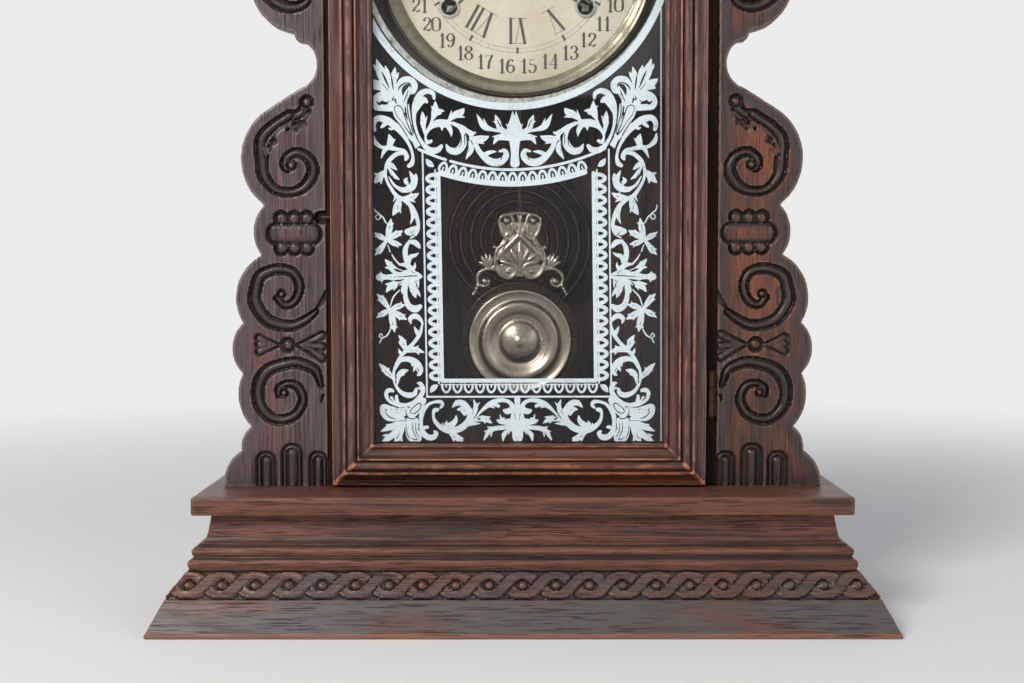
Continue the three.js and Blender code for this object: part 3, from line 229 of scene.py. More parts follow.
def make(name, points, faces, body, nodes, finish, smooth=True, sharp=38, relief=0, extra=None):
    """A piece from points in millimetres. relief is how often its surface is smoothed to find ridges and hollows."""
    mesh = bpy.data.meshes.new(name)
    mesh.from_pydata((np.asarray(points, float) * MM).tolist(), [], faces)
    mesh.validate()
    if smooth:
        mesh.shade_smooth()
        mesh.set_sharp_from_angle(angle=math.radians(sharp))
    else:
        mesh.shade_flat()
    mark_relief(mesh, relief, extra)
    obj = bpy.data.objects.new(name, mesh)
    bpy.context.scene.collection.objects.link(obj)
    for m in finish if isinstance(finish, (list, tuple)) else [finish]:
        mesh.materials.append(m)
    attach(obj, body)
    if nodes:
        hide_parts(*nodes)
    return obj


def mark_relief(mesh, passes, extra=None):
    """Point attribute relief: millimetres that a point stands above (+) or below (-) the smoothed surface."""
    n = len(mesh.vertices)
    value = np.zeros(n)
    if passes:
        co = np.empty(n * 3)
        mesh.vertices.foreach_get("co", co)
        nor = np.empty(n * 3)
        mesh.vertex_normals.foreach_get("vector", nor)
        e = np.empty(len(mesh.edges) * 2, np.int32)
        mesh.edges.foreach_get("vertices", e)
        co, nor, e = co.reshape(-1, 3) * 1000, nor.reshape(-1, 3), e.reshape(-1, 2)
        deg = np.maximum(np.bincount(e.ravel(), minlength=n), 1)[:, None]
        p = co.copy()
        for _ in range(passes):
            s = np.column_stack([np.bincount(e[:, 0], p[e[:, 1], k], n) + np.bincount(e[:, 1], p[e[:, 0], k], n)
                                 for k in range(3)])
            p = 0.5 * p + 0.5 * s / deg
        value = ((co - p) * nor).sum(1)
    if extra is not None:
        value = value + extra
    mark(mesh, "relief", value)


def mark(mesh, name, values):
    mesh.attributes.new(name, "FLOAT", "POINT").data.foreach_set("value", np.asarray(values, np.float32))


def slab(lo, hi, radius=0.8, along=18.0):
    """Points, faces and edge wear of a board with rounded edges, cut into short lengths."""
    lo, hi = np.array(lo, float), np.array(hi, float)
    r = min(radius, *((hi - lo) / 2.2))
    lines = []
    for k in range(3):
        inner = hi[k] - lo[k] - 6 * r
        n = max(1, int(inner / along)) if inner > 0 else 0
        mid = list(np.linspace(lo[k] + 3 * r, hi[k] - 3 * r, n + 1)) if inner > 0 else []
        lines.append(np.array([lo[k], lo[k] + .35 * r, lo[k] + r] + mid + [hi[k] - r, hi[k] - .35 * r, hi[k]]))
    n = [len(l) for l in lines]
    ids, pts, wear, faces = {}, [], [], []

    def at(i, j, k):
        if (i, j, k) not in ids:
            q = np.array([lines[0][i], lines[1][j], lines[2][k]])
            c = np.clip(q, lo + r, hi - r)
            d = q - c
            length = np.linalg.norm(d)
            near = ((q - lo < r * 1.01) | (hi - q < r * 1.01)).sum()
            pts.append(c + d / length * r if length > 1e-9 else q)
            wear.append(0.35 if near >= 2 else 0.0)
            ids[(i, j, k)] = len(pts) - 1
        return ids[(i, j, k)]

    for axis in range(3):
        u, v = [(1, 2), (2, 0), (0, 1)][axis]
        for end in (0, n[axis] - 1):
            for a in range(n[u] - 1):
                for b in range(n[v] - 1):
                    quad = []
                    for da, db in ((0, 0), (1, 0), (1, 1), (0, 1)):
                        key = [0, 0, 0]
                        key[axis], key[u], key[v] = end, a + da, b + db
                        quad.append(at(*key))
                    faces.append(quad if end else quad[::-1])
    return np.array(pts), faces, np.array(wear)


def board(node, body, finish, radius=0.8, name=None):
    lo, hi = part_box(node)
    p, f, wear = slab(np.array(lo) * 1000, np.array(hi) * 1000, radius)
    return make(name or node + "_board", p, f, body, [node], finish, sharp=60, extra=wear)


def skin(n, m, ring=False):
    """Faces of n rows of m points, each row closed. A ring's last row joins its first, else both ends are capped."""
    i, j = np.meshgrid(np.arange(n if ring else n - 1), np.arange(m), indexing="ij")
    a, b, k = i * m, (i + 1) % n * m, (j + 1) % m
    faces = np.stack([a + j, a + k, b + k, b + j], -1).reshape(-1, 4).tolist()
    return faces if ring else faces + [list(range(m))[::-1], [(n - 1) * m + j for j in range(m)]]


def facing_out(points, faces):
    """Turns all faces round where the piece's volume comes out negative."""
    p = np.asarray(points, float)
    a, b, c = np.array([(f[0], v, w) for f in faces for v, w in zip(f[1:-1], f[2:])]).T
    return faces if (p[a] * np.cross(p[b], p[c])).sum() > 0 else [list(f)[::-1] for f in faces]


def backed(front, faces, rim, back_y):
    """Points and faces of a thin sheet with its edge and its flat back."""
    n = len(front)
    back = front.copy()
    back[:, 1] = back_y
    faces = faces + [[v + n for v in f[::-1]] for f in faces] + [[b, a, a + n, b + n] for a, b in rim]
    return np.vstack([front, back]), faces


def lathe(profile, centre, turns=96, closed=False):
    """Points and faces of a profile of (radius, y) turned round the line through centre (x, z) along y."""
    prof = np.asarray(profile, float)
    t = np.linspace(0, 2 * math.pi, turns, endpoint=False)
    pts = np.stack([centre[0] + prof[:, :1] * np.cos(t), np.repeat(prof[:, 1:2], turns, 1),
                    centre[1] + prof[:, :1] * np.sin(t)], -1).reshape(-1, 3)
    return pts, facing_out(pts, skin(len(prof), turns, closed))


def tube(path, radius, sides=12):
    """Points and faces of a closed round bar along a path of (x, y, z)."""
    p = np.asarray(path, float)
    d = np.gradient(p, axis=0)
    d /= np.linalg.norm(d, axis=1)[:, None]
    side = np.cross(d[0], [0.0, 0, 1] if abs(d[0][2]) < 0.9 else [0.0, 1, 0])
    a = np.linspace(0, 2 * math.pi, sides, endpoint=False)
    pts = []
    for q, t in zip(p, d):
        side = side - t * np.dot(side, t)
        side /= np.linalg.norm(side)
        pts.append(q + radius * (np.cos(a)[:, None] * side + np.sin(a)[:, None] * np.cross(t, side)))
    pts = np.vstack(pts)
    return pts, facing_out(pts, skin(len(p), sides))


# ---------------------------------------------------------------- finishes

def srgb(r, g, b):
    """A colour written 0 to 255, as the shaders want it."""
    return tuple(c / 255 / 12.92 if c <= 10 else ((c / 255 + .055) / 1.055) ** 2.4 for c in (r, g, b)) + (1.0,)


def feed(node, values):
    """Links a node's inputs to other nodes' outputs, or sets them to plain values."""
    for key, value in values.items():
        if isinstance(value, bpy.types.NodeSocket):
            node.id_data.links.new(value, node.inputs[key])
        else:
            node.inputs[key].default_value = value


def add(tree, kind, values=None, **settings):
    """A shader node, with its settings and what feeds its inputs."""
    node = tree.nodes.new("ShaderNode" + kind)
    for key, value in settings.items():
        setattr(node, key, value)
    feed(node, values or {})
    return node


def maths(tree, operation, a, b=0.0, clamp=False):
    return add(tree, "Math", {0: a, 1: b}, operation=operation, use_clamp=clamp).outputs[0]


def times(tree, a, b):
    return maths(tree, "MULTIPLY", a, b)


def plus(tree, a, b, clamp=False):
    return maths(tree, "ADD", a, b, clamp)


def xyz(tree, vector):
    """The three numbers of a vector."""
    return add(tree, "SeparateXYZ", {0: vector}).outputs


def span(tree, value, low, high, to_low=0.0, to_high=1.0):
    return add(tree, "MapRange", {"Value": value, "From Min": low, "From Max": high, "To Min": to_low,
                                  "To Max": to_high},
               interpolation_type="SMOOTHSTEP").outputs[0]


def blend(tree, amount, a, b):
    node = add(tree, "Mix", data_type="RGBA", blend_type="MIX", clamp_factor=True)
    feed(node, {0: amount, 6: a, 7: b})
    return node.outputs[2]


def noise_of(tree, point, detail, rough, stretch, shift=(0, 0, 0)):
    """Noise whose spots are about 1 / stretch millimetres long in each direction."""
    point = add(tree, "Mapping", {"Vector": point, "Scale": stretch, "Location": shift}).outputs[0]
    return add(tree, "TexNoise", {"Vector": point, "Scale": 1.0, "Detail": detail, "Roughness": rough}).outputs[0]


def group(name, inputs, outputs, build):
    tree = bpy.data.node_groups.new(name, "ShaderNodeTree")
    for label, kind, value in inputs:
        socket = tree.interface.new_socket(label, in_out="INPUT", socket_type="NodeSocket" + kind)
        if value is not None:
            socket.default_value = value
    for label in outputs:
        tree.interface.new_socket(label, in_out="OUTPUT", socket_type="NodeSocketFloat")
    start, end = tree.nodes.new("NodeGroupInput"), tree.nodes.new("NodeGroupOutput")
    for label, value in build(tree, start.outputs).items():
        tree.links.new(value, end.inputs[label])
    return tree


def grain_nodes(tree, given):
    p = given["Point"]
    slow = noise_of(tree, p, 3, .5, (.0045, .035, .035), (3, 7, 1))
    rings = times(tree, xyz(tree, p)[2], given["Ring closeness"])
    rings = plus(tree, times(tree, slow, 34.0), rings)
    figure = span(tree, maths(tree, "SINE", rings), -.9, .95)
    streak = noise_of(tree, p, 5, .68, (.009, .5, .5))
    pore = noise_of(tree, p, 2, .5, (.05, 1.35, 1.35), (11, 5, 2))
    pore = span(tree, pore, .56, .66)
    pore = times(tree, pore, span(tree, figure, .1, .8, .35, 1.0))
    fleck = span(tree, noise_of(tree, p, 1, .4, (.05, .16, .9), (2, 2, 9)), .66, .74)
    lines = noise_of(tree, p, 3, .6, (.02, 1.1, 1.1), (5, 9, 2))
    streak = plus(tree, times(tree, streak, .62), times(tree, lines, .38))
    patch = span(tree, noise_of(tree, p, 5, .62, (.012, .05, .05), (8, 3, 6)), .42, .62)
    height = maths(tree, "SUBTRACT", times(tree, lines, .8), pore)
    thread = span(tree, noise_of(tree, p, 3, .7, (.014, 1.15, 1.15), (2, 6, 4)), .46, .57)
    return {"Streaks": streak, "Pores": pore, "Figure": figure, "Flecks": fleck, "Patches": patch, "Threads": thread,
            "Height": height}


def rub_nodes(tree, given):
    relief = add(tree, "Attribute", attribute_name="relief").outputs["Fac"]
    patch = noise_of(tree, given["Point"], 4, .65, (.09, .09, .09), (1, 8, 3))
    level = plus(tree, relief, times(tree, maths(tree, "SUBTRACT", patch, .55), given["Patchiness"]))
    rubbed = span(tree, level, given["Ridge from"], given["Ridge full"])
    # hollows take grime and painted shade; ground pressed below the face takes painted shade
    grime_and_shade = span(tree, times(tree, relief, -1.0), given["Hollow from"], given["Hollow full"])
    depth = add(tree, "Attribute", attribute_name="pressed").outputs["Fac"]
    return {"Rubbed": rubbed, "Grimed": grime_and_shade, "Sunk": span(tree, depth, .05, 1.15)}


def dust_nodes(tree, given):
    up = xyz(tree, add(tree, "NewGeometry").outputs["Normal"])[2]
    patch = noise_of(tree, given["Point"], 5, .7, (.05, .05, .05), (6, 1, 4))
    fine = noise_of(tree, given["Point"], 2, .7, (1.4, 1.4, 1.4))
    lies = span(tree, up, .15, .95)
    dust = times(tree, lies, span(tree, patch, .35, .7, .25, 1.0))
    dust = times(tree, dust, span(tree, fine, .3, .7, .5, 1.0))
    return {"Dust": times(tree, dust, given["Amount"])}


def rim_nodes(tree, given):
    rim = add(tree, "Attribute", attribute_name="rim").outputs["Fac"]
    uneven = times(tree, maths(tree, "SUBTRACT", given["Patches"], .5), .35)
    return {"Rim": span(tree, plus(tree, rim, uneven), .15, .95)}


def weathered_nodes(tree, given):
    rise = given["Rise"]
    low = times(tree, span(tree, rise, -1.0, 1.5, 1.0, .5), span(tree, rise, 11.9, 12.9, 1.0, 0.0))
    streaky = plus(tree, times(tree, given["Streaks"], .7), times(tree, given["Patches"], -.25))
    return {"Grey": times(tree, low, span(tree, streaky, .12, .36, .35, 1.0))}


def metal_nodes(tree, given):
    p = given["Point"]
    cloud = noise_of(tree, p, 5, .65, (.12, .12, .12))
    spots = span(tree, noise_of(tree, p, 2, .5, (.9, .9, .9), (4, 4, 4)), .62, .74)
    lines = noise_of(tree, p, 2, .5, (.4, .4, 7.0))
    return {"Tarnish": span(tree, cloud, .38, .68), "Spots": spots, "Brushing": lines}


def paint_nodes(tree, given):
    p = given["Point"]
    return {"Cloud": noise_of(tree, p, 5, .65, (.06, .06, .06)),
            "Height": noise_of(tree, p, 4, .6, (.5, .5, .5))}


POINT = ("Point", "Vector", None)
GRAIN = group("Oak grain", [POINT, ("Ring closeness", "Float", .35)],
              ["Streaks", "Pores", "Figure", "Flecks", "Patches", "Threads", "Height"], grain_nodes)
RUB = group("Rubbed ridges, and grime and painted shade in hollows",
            [POINT, ("Patchiness", "Float", .3), ("Ridge from", "Float", .1), ("Ridge full", "Float", .4),
             ("Hollow from", "Float", .08), ("Hollow full", "Float", .4)], ["Rubbed", "Grimed", "Sunk"], rub_nodes)
RIM = group("Darkened rim", [("Patches", "Float", .5)], ["Rim"], rim_nodes)
LOW_GREY = group("Grey low on the base",
                  [("Rise", "Float", 0.0), ("Streaks", "Float", .5), ("Patches", "Float", .5)], ["Grey"],
                  weathered_nodes)
DUST = group("Dust that has settled", [POINT, ("Amount", "Float", .5)], ["Dust"], dust_nodes)
METAL = group("Tarnish and brushing", [POINT], ["Tarnish", "Spots", "Brushing"], metal_nodes)
PAINT = group("Old paint", [POINT], ["Cloud", "Height"], paint_nodes)


def placed(tree, kind, values):
    """A node group put into a material, with its own values."""
    node = tree.nodes.new("ShaderNodeGroup")
    node.node_tree = kind
    feed(node, values)
    return node.outputs


def new_finish(name):
    """A material with its Principled BSDF, and its tree."""
    m = bpy.data.materials.new(name)
    m.use_nodes = True
    t = m.node_tree
    t.nodes.clear()
    out, shader = add(t, "OutputMaterial"), add(t, "BsdfPrincipled")
    feed(out, {0: shader.outputs[0]})
    return m, t, shader


def in_mm(tree, order="XYZ"):
    """The piece's own coordinates in millimetres, with the grain's direction first."""
    where = add(tree, "TexCoord").outputs["Object"]
    where = add(tree, "VectorMath", {0: where, "Scale": 1000.0}, operation="SCALE").outputs[0]
    if order == "XYZ":
        return where
    s = xyz(tree, where)
    return add(tree, "CombineXYZ", {k: s["XYZ".index(c)] for k, c in enumerate(order)}).outputs[0]


def bumped(tree, shader, height, strength, distance):
    bump = add(tree, "Bump", {"Height": height, "Strength": strength, "Distance": distance})
    feed(shader, {"Normal": bump.outputs[0]})


OAK_BLACK, OAK_PRESSED_SHADE, DUST_GREY = srgb(22, 15, 13), srgb(30, 18, 16), srgb(132, 124, 122)


def oak(name, order, dark, mid, light, worn, warm, rub=(.10, .45), patch=.35, dust=.5, rough=.42, shine=.22,
        worn_share=.6, patches=.5, rim=None, greyed=None, sunk=0.0, shell=None):
    """An oak finish. order puts the grain's direction first. dark to warm are its colours, worn that of rubbed ridges.
    rim is the colour round a board's edge. greyed is a height and the colour below it. shell is the case's reach and
    the colours of the stain on what faces out of it."""
    m, t, shader = new_finish(name)
    p = in_mm(t, order)
    g = placed(t, GRAIN, {"Point": p})
    r = placed(t, RUB, {"Point": p, "Patchiness": patch, "Ridge from": rub[0], "Ridge full": rub[1],
                        "Hollow from": .08, "Hollow full": .45})
    d = placed(t, DUST, {"Point": p, "Amount": dust})
    tint = lambda colour, mask, share, to: blend(t, times(t, mask, share), colour, to)
    colour = blend(t, span(t, g["Streaks"], .42, .57), dark, mid)
    colour = tint(colour, g["Figure"], .42, light)
    colour = tint(colour, g["Threads"], .55, dark)
    colour = tint(colour, g["Flecks"], .25, light)
    colour = tint(colour, g["Patches"], patches, warm)
    if rim:
        colour = tint(colour, placed(t, RIM, {"Patches": g["Patches"]})["Rim"], .9, rim)
    if shell:
        # the faces that look out of the case are stained; inside, the bare wood is painted nearly black as the shade
        # within the case
        reach, stain_dark, stain_mid, stain_warm = shell
        s = xyz(t, in_mm(t))
        outer = [span(t, value, far - .8, far - .4)
                 for value, far in zip((maths(t, "ABSOLUTE", s[0]), s[1], s[2]), reach)]
        outer = maths(t, "MAXIMUM", maths(t, "MAXIMUM", outer[0], outer[1]), outer[2])
        stain = blend(t, span(t, g["Streaks"], .40, .60), stain_dark, stain_mid)
        stain = tint(stain, g["Patches"], .5, stain_warm)
        stain = tint(stain, g["Threads"], .5, stain_dark)
        colour = blend(t, outer, colour, stain)
    # below the given height the wood turns greyer along its streaks
    if greyed:
        rise = maths(t, "SUBTRACT", xyz(t, in_mm(t))[2], greyed[0])
        grey = placed(t, LOW_GREY, {"Rise": rise, "Streaks": g["Streaks"], "Patches": g["Patches"]})["Grey"]
        colour = blend(t, grey, colour, greyed[1])
    colour = tint(colour, r["Rubbed"], worn_share, worn)
    colour = tint(colour, g["Pores"], .72, OAK_BLACK)
    # everything pressed below the face is painted darker as shade, and the hollows are painted black as grime and
    # painted shade
    colour = tint(colour, r["Sunk"], sunk, OAK_PRESSED_SHADE)
    colour = tint(colour, r["Grimed"], .9, OAK_BLACK)
    roughness = plus(t, rough, times(t, g["Pores"], .25))
    roughness = plus(t, roughness, times(t, d["Dust"], .4), clamp=True)
    feed(shader, {"Base Color": blend(t, d["Dust"], colour, DUST_GREY), "Roughness": roughness, "Coat Weight": shine,
                  "Coat Roughness": .22})
    bumped(t, shader, g["Height"], .8, .0005)
    return m


# carved boards take nearly all of the painted shade on pressed ground
CARVED = dict(rub=(.3, .62), sunk=.95)
# The wings are one oak coloured twice: the right is painted warmer where the light falls on it, and the left greyer,
# with painted grey highlights on its channel lips; the rubbed ridges of both are wear as well.
left_oak = oak("Pressed oak, left wing, grey with painted highlights", "ZYX", srgb(38, 23, 23), srgb(96, 76, 78), srgb(112, 82, 78),
               srgb(150, 128, 120), srgb(104, 60, 51), worn_share=.4, patches=.6, rim=srgb(76, 65, 66), dust=.25,
               **CARVED)
right_oak = oak("Pressed oak, right wing, warm painted light and wear", "ZYX", srgb(36, 20, 15), srgb(80, 45, 31), srgb(96, 51, 30),
                srgb(150, 112, 84), srgb(132, 68, 34), worn_share=.35, patches=.6, rim=srgb(50, 41, 42), dust=.2,
                **CARVED)
wing_oak = oak("Pressed oak, crest and front boards", "ZYX", srgb(42, 26, 22), srgb(84, 56, 47), srgb(100, 64, 49),
               srgb(140, 102, 80), srgb(114, 64, 40), worn_share=.4, rim=srgb(64, 50, 48), dust=.3, **CARVED)
# The front boards beside and above the door are painted dark, as the door's painted shadow and as grime.
shade_oak = oak("Front boards, dark beside the door", "ZYX", srgb(20, 12, 9), srgb(38, 21, 15), srgb(50, 28, 19),
                srgb(80, 50, 34), srgb(56, 30, 18), rub=(.3, .62), dust=0.0, shine=0.0, rough=.85)
feed(shade_oak.node_tree.nodes["Principled BSDF"], {"Specular IOR Level": .15})
BASE = dict(dark=srgb(34, 19, 16), mid=srgb(104, 58, 44), light=srgb(124, 68, 47), worn=srgb(150, 94, 62),
            warm=srgb(128, 70, 46), rub=(.2, .55), dust=.16, worn_share=.55, shine=.12, patches=.35,
            greyed=(17.6, srgb(78, 71, 70)))
base_oak = oak("Pressed oak, grain along the base", "XYZ", **BASE)
side_oak = oak("Pressed oak, grain front to back", "YXZ", **BASE)
DOOR = dict(dark=srgb(32, 18, 18), mid=srgb(94, 62, 61), light=srgb(110, 76, 71), worn=srgb(190, 128, 102),
            warm=srgb(106, 54, 42), rub=(.10, .27), patch=.32, patches=.45, worn_share=.75, rough=.36, shine=.3,
            dust=.15)
door_up = oak("Door oak, grain upright", "ZYX", **DOOR)
DOOR.update(mid=srgb(98, 56, 43), light=srgb(118, 68, 47), warm=srgb(124, 64, 37), worn=srgb(200, 126, 76))
door_across = oak("Door oak, grain across", "XYZ", **DOOR)
# The inside of the case is painted nearly black as its shade; only the faces that look out are stained oak.
inner_oak = oak("Inner oak, bare, painted with the case's shade", "ZYX", srgb(16, 10, 9), srgb(30, 18, 15), srgb(42, 24, 18),
                srgb(70, 42, 30), srgb(84, 40, 27), rub=(.2, .6), dust=.2, shine=0.02, rough=.65, patches=.6,
                shell=((105.3, 62.0, 474.0), srgb(42, 27, 22), srgb(88, 60, 48), srgb(104, 68, 48)))


def metal(name, colour, tarnished, rough, worn=None, tarnish=.6, spots=.5, brushing=.1, ring=None, uneven=.12):
    """A metal finish. ring is the x, z and radius outside which a turned piece's flat rim is painted nearly black, as
    dark tarnish and as a painted reflection of the dark inside of the case.
    """
    m, t, shader = new_finish(name)
    p = in_mm(t)
    k = placed(t, METAL, {"Point": p})
    r = placed(t, RUB, {"Point": p, "Patchiness": .1, "Ridge from": .05, "Ridge full": .3,
                        "Hollow from": .04, "Hollow full": .35})
    darker = lambda share: tuple(x * share for x in tarnished[:3]) + (1.0,)
    c = blend(t, times(t, k["Tarnish"], tarnish), colour, tarnished)
    c = blend(t, times(t, r["Rubbed"], .6), c, worn or colour)
    c = blend(t, times(t, k["Spots"], spots), c, darker(.45))
    c = blend(t, times(t, r["Grimed"], .7), c, darker(.22))
    # painted reflection: the rim outside the ring is dark tarnish and the painted reflection of the dark case
    if ring:
        s = xyz(t, p)
        off = [maths(t, "POWER", maths(t, "ABSOLUTE", maths(t, "SUBTRACT", s[axis], middle)), 2.0)
               for axis, middle in ((0, ring[0]), (2, ring[1]))]
        radius = maths(t, "SQRT", plus(t, off[0], off[1]))
        c = blend(t, span(t, radius, ring[2], ring[2] + .35), c, srgb(44, 38, 34))
    roughness = plus(t, rough, times(t, k["Tarnish"], .16))
    lines = times(t, maths(t, "SUBTRACT", k["Brushing"], .5), brushing * 2)
    roughness = plus(t, roughness, lines)
    roughness = plus(t, roughness, times(t, k["Spots"], .2), clamp=True)
    feed(shader, {"Base Color": c, "Roughness": roughness, "Metallic": 1.0})
    bumped(t, shader, plus(t, k["Brushing"], times(t, k["Tarnish"], .6)), uneven, .0001)
    return m


nickel = metal("Nickel, dulled", srgb(132, 124, 114), srgb(98, 88, 80), .27, worn=srgb(196, 188, 176), uneven=.08)
# The bob's rubbed ring crests are painted pale, as wear and as painted glints.
bob_nickel = metal("Nickel, spun", srgb(130, 120, 110), srgb(104, 92, 82), .27, worn=srgb(214, 206, 194),
                   brushing=.03, uneven=.02, spots=.25, ring=(*BOB_CENTRE, 28.0))
bezel_nickel = metal("Nickel, brown with age", srgb(112, 106, 92), srgb(80, 74, 63), .40, tarnish=.7,
                     worn=srgb(150, 143, 128))
brass = metal("Clock brass", srgb(168, 132, 76), srgb(104, 78, 46), .34)
steel = metal("Bright steel", srgb(168, 166, 164), srgb(112, 104, 98), .32)
spring_steel = metal("Gong wire, grey", srgb(70, 67, 64), srgb(44, 40, 37), .42)
blued = metal("Blued steel", srgb(46, 50, 66), srgb(34, 32, 38), .3, spots=.2)
iron = metal("Cast iron, black", srgb(54, 50, 48), srgb(40, 34, 30), .55)


def printed_white():
    m, t, shader = new_finish("White print on the glass, worn")
    p = in_mm(t)
    big = noise_of(t, p, 5, .75, (.035, .035, .035), (2, 0, 5))
    fine = noise_of(t, p, 4, .7, (.8, .8, .8))
    scratch = noise_of(t, p, 2, .5, (.06, .5, 1.6), (9, 0, 1))
    bare = times(t, span(t, big, .50, .74), span(t, fine, .46, .62))
    bare = maths(t, "MAXIMUM", bare, times(t, span(t, scratch, .70, .76), span(t, big, .4, .6)))
    c = blend(t, span(t, fine, .3, .7), srgb(196, 206, 212), srgb(218, 226, 231))
    feed(shader, {"Base Color": c, "Alpha": maths(t, "SUBTRACT", 1.0, times(t, bare, .8)), "Roughness": .6})
    return m


def printed_silver():
    m, t, shader = new_finish("Silver print on the glass")
    p = in_mm(t)
    fine = noise_of(t, p, 5, .75, (.25, .25, .25))
    c = blend(t, span(t, fine, .35, .65), srgb(128, 126, 118), srgb(178, 178, 172))
    feed(shader, {"Base Color": c, "Alpha": span(t, fine, .28, .5, .35, 1.0), "Roughness": .45})
    return m


def glass():
    m, t, shader = new_finish("Old window glass")
    p = in_mm(t)
    feed(shader, {"Transmission Weight": 1.0, "IOR": 1.26, "Base Color": (.96, .98, .97, 1),
                  "Roughness": span(t, noise_of(t, p, 4, .7, (.03, .03, .03)), .3, .8, 0.0, .035)})
    bumped(t, shader, noise_of(t, p, 2, .4, (.012, .012, .02)), .25, .0012)
    # light passes straight through the pane, so the clock behind it isn't in its shadow
    path = add(t, "LightPath").outputs
    passes = maths(t, "MAXIMUM", path["Is Shadow Ray"], path["Is Diffuse Ray"])
    mix = add(t, "MixShader", {0: passes, 1: shader.outputs[0], 2: add(t, "BsdfTransparent").outputs[0]})
    feed(t.nodes["Material Output"], {0: mix.outputs[0]})
    return m


def paper():
    m, t, shader = new_finish("Dial paper, yellowed")
    p = in_mm(t)
    cloud = noise_of(t, p, 5, .65, (.03, .03, .03))
    spots = noise_of(t, p, 4, .7, (.25, .25, .25), (5, 5, 5))
    c = blend(t, span(t, cloud, .35, .68), srgb(204, 195, 176), srgb(188, 175, 150))
    c = blend(t, times(t, span(t, spots, .60, .78), .35), c, srgb(176, 150, 112))
    feed(shader, {"Base Color": c, "Roughness": .55})
    bumped(t, shader, noise_of(t, p, 3, .6, (1.2, 1.2, 1.2)), .15, .0001)
    return m


def ink():
    m, t, shader = new_finish("Dial ink")
    p = in_mm(t)
    c = blend(t, span(t, noise_of(t, p, 4, .7, (.9, .9, .9)), .4, .7), srgb(52, 54, 50), srgb(84, 84, 76))
    feed(shader, {"Base Color": c, "Roughness": .6})
    return m


def painted(name, colour, rough):
    m, t, shader = new_finish(name)
    p = in_mm(t)
    k = placed(t, PAINT, {"Point": p})
    r = placed(t, RUB, {"Point": p, "Patchiness": .2, "Ridge from": .15, "Ridge full": .5})
    c = blend(t, span(t, k["Cloud"], .3, .7), tuple(x * .6 for x in colour[:3]) + (1.0,), colour)
    feed(shader, {"Base Color": blend(t, times(t, r["Rubbed"], .5), c, srgb(92, 84, 76)),
                  "Roughness": span(t, k["Cloud"], .2, .8, rough, rough + .2)})
    bumped(t, shader, k["Height"], .2, .0002)
    return m


PAN_BLACK = painted("Black paint on the dial pan", srgb(34, 28, 26), .5)
IRON_BLACK = painted("Black japanned iron", srgb(30, 27, 26), .42)
WHITE, SILVER, GLASS, PAPER, INK = printed_white(), printed_silver(), glass(), paper(), ink()
FINISH_OF = {"pressed_oak": wing_oak, "door_oak": door_up, "inner_oak": inner_oak, "brass": brass, "nickel": nickel,
             "steel": steel, "blued_steel": blued, "cast_iron": iron, "dial_paper": PAPER, "door_glass": GLASS}
for node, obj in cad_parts.items():
    slots = obj.data.materials
    kind = slots[0].name.split(".")[0] if len(slots) else "nothing"
    if kind not in FINISH_OF:
        raise RuntimeError("no finish for " + node + ", which has " + kind)
    for k in range(len(slots)):
        slots[k] = FINISH_OF[kind]
hinge_brass = metal("Hinge brass, blackened", srgb(74, 58, 38), srgb(40, 31, 23), .5)
OWN_FINISH = {"gong_coil": spring_steel, "gong_base": IRON_BLACK, "hammer": spring_steel, "pendulum_rod": spring_steel,
              "glass_retaining_frame": inner_oak, "door_pull_pin": IRON_BLACK, "suspension_post": spring_steel}
OWN_FINISH.update((node, hinge_brass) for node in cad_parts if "hinge" in node)
for node, finish in OWN_FINISH.items():
    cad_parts[node].data.materials[0] = finish


# ---------------------------------------------------------------- carving pressed into boards

def channel(t):
    """Depth in a pressed channel with a round reed along its middle; t is 0 on its centre line and 1 at its edge."""
    return np.interp(t, [0, .18, .34, .46, .56, .66, .82, .93, 1.0, 1.04],
                     [-.7, -.8, -1.1, -1.6, -2.15, -2.5, -2.5, -1.8, -.3, 0])


def bowl(t):
    """A round-topped bead standing in its own sunk ring."""
    return np.interp(t, [0, .25, .45, .58, .66, .8, .92, 1.0], [-.3, -.45, -.95, -1.7, -2.3, -2.2, -1.2, 0])


def groove(t):
    return np.interp(t, [0, .35, .7, 1.0], [-1.9, -1.7, -.8, 0])


def pit(t):
    return np.interp(t, [0, .6, 1.0], [-2.6, -2.4, -1.5])


def depth_inside(sheet, outline):
    """How far each point of the sheet lies from an outline, up to 14 mm."""
    far = np.full(sheet.field.shape, 14.0)
    for cx, cz in densify(outline, .45):
        found = sheet.block(cx, cz, 2.5)
        if found:
            where, d = found
            far[where] = np.minimum(far[where], d)
    for cx, cz in densify(outline, 3.0):
        found = sheet.block(cx, cz, 14.0)
        if found:
            where, d = found
            far[where] = np.where(far[where] > 2.3, np.minimum(far[where], np.maximum(d, 2.3)), far[where])
    return far


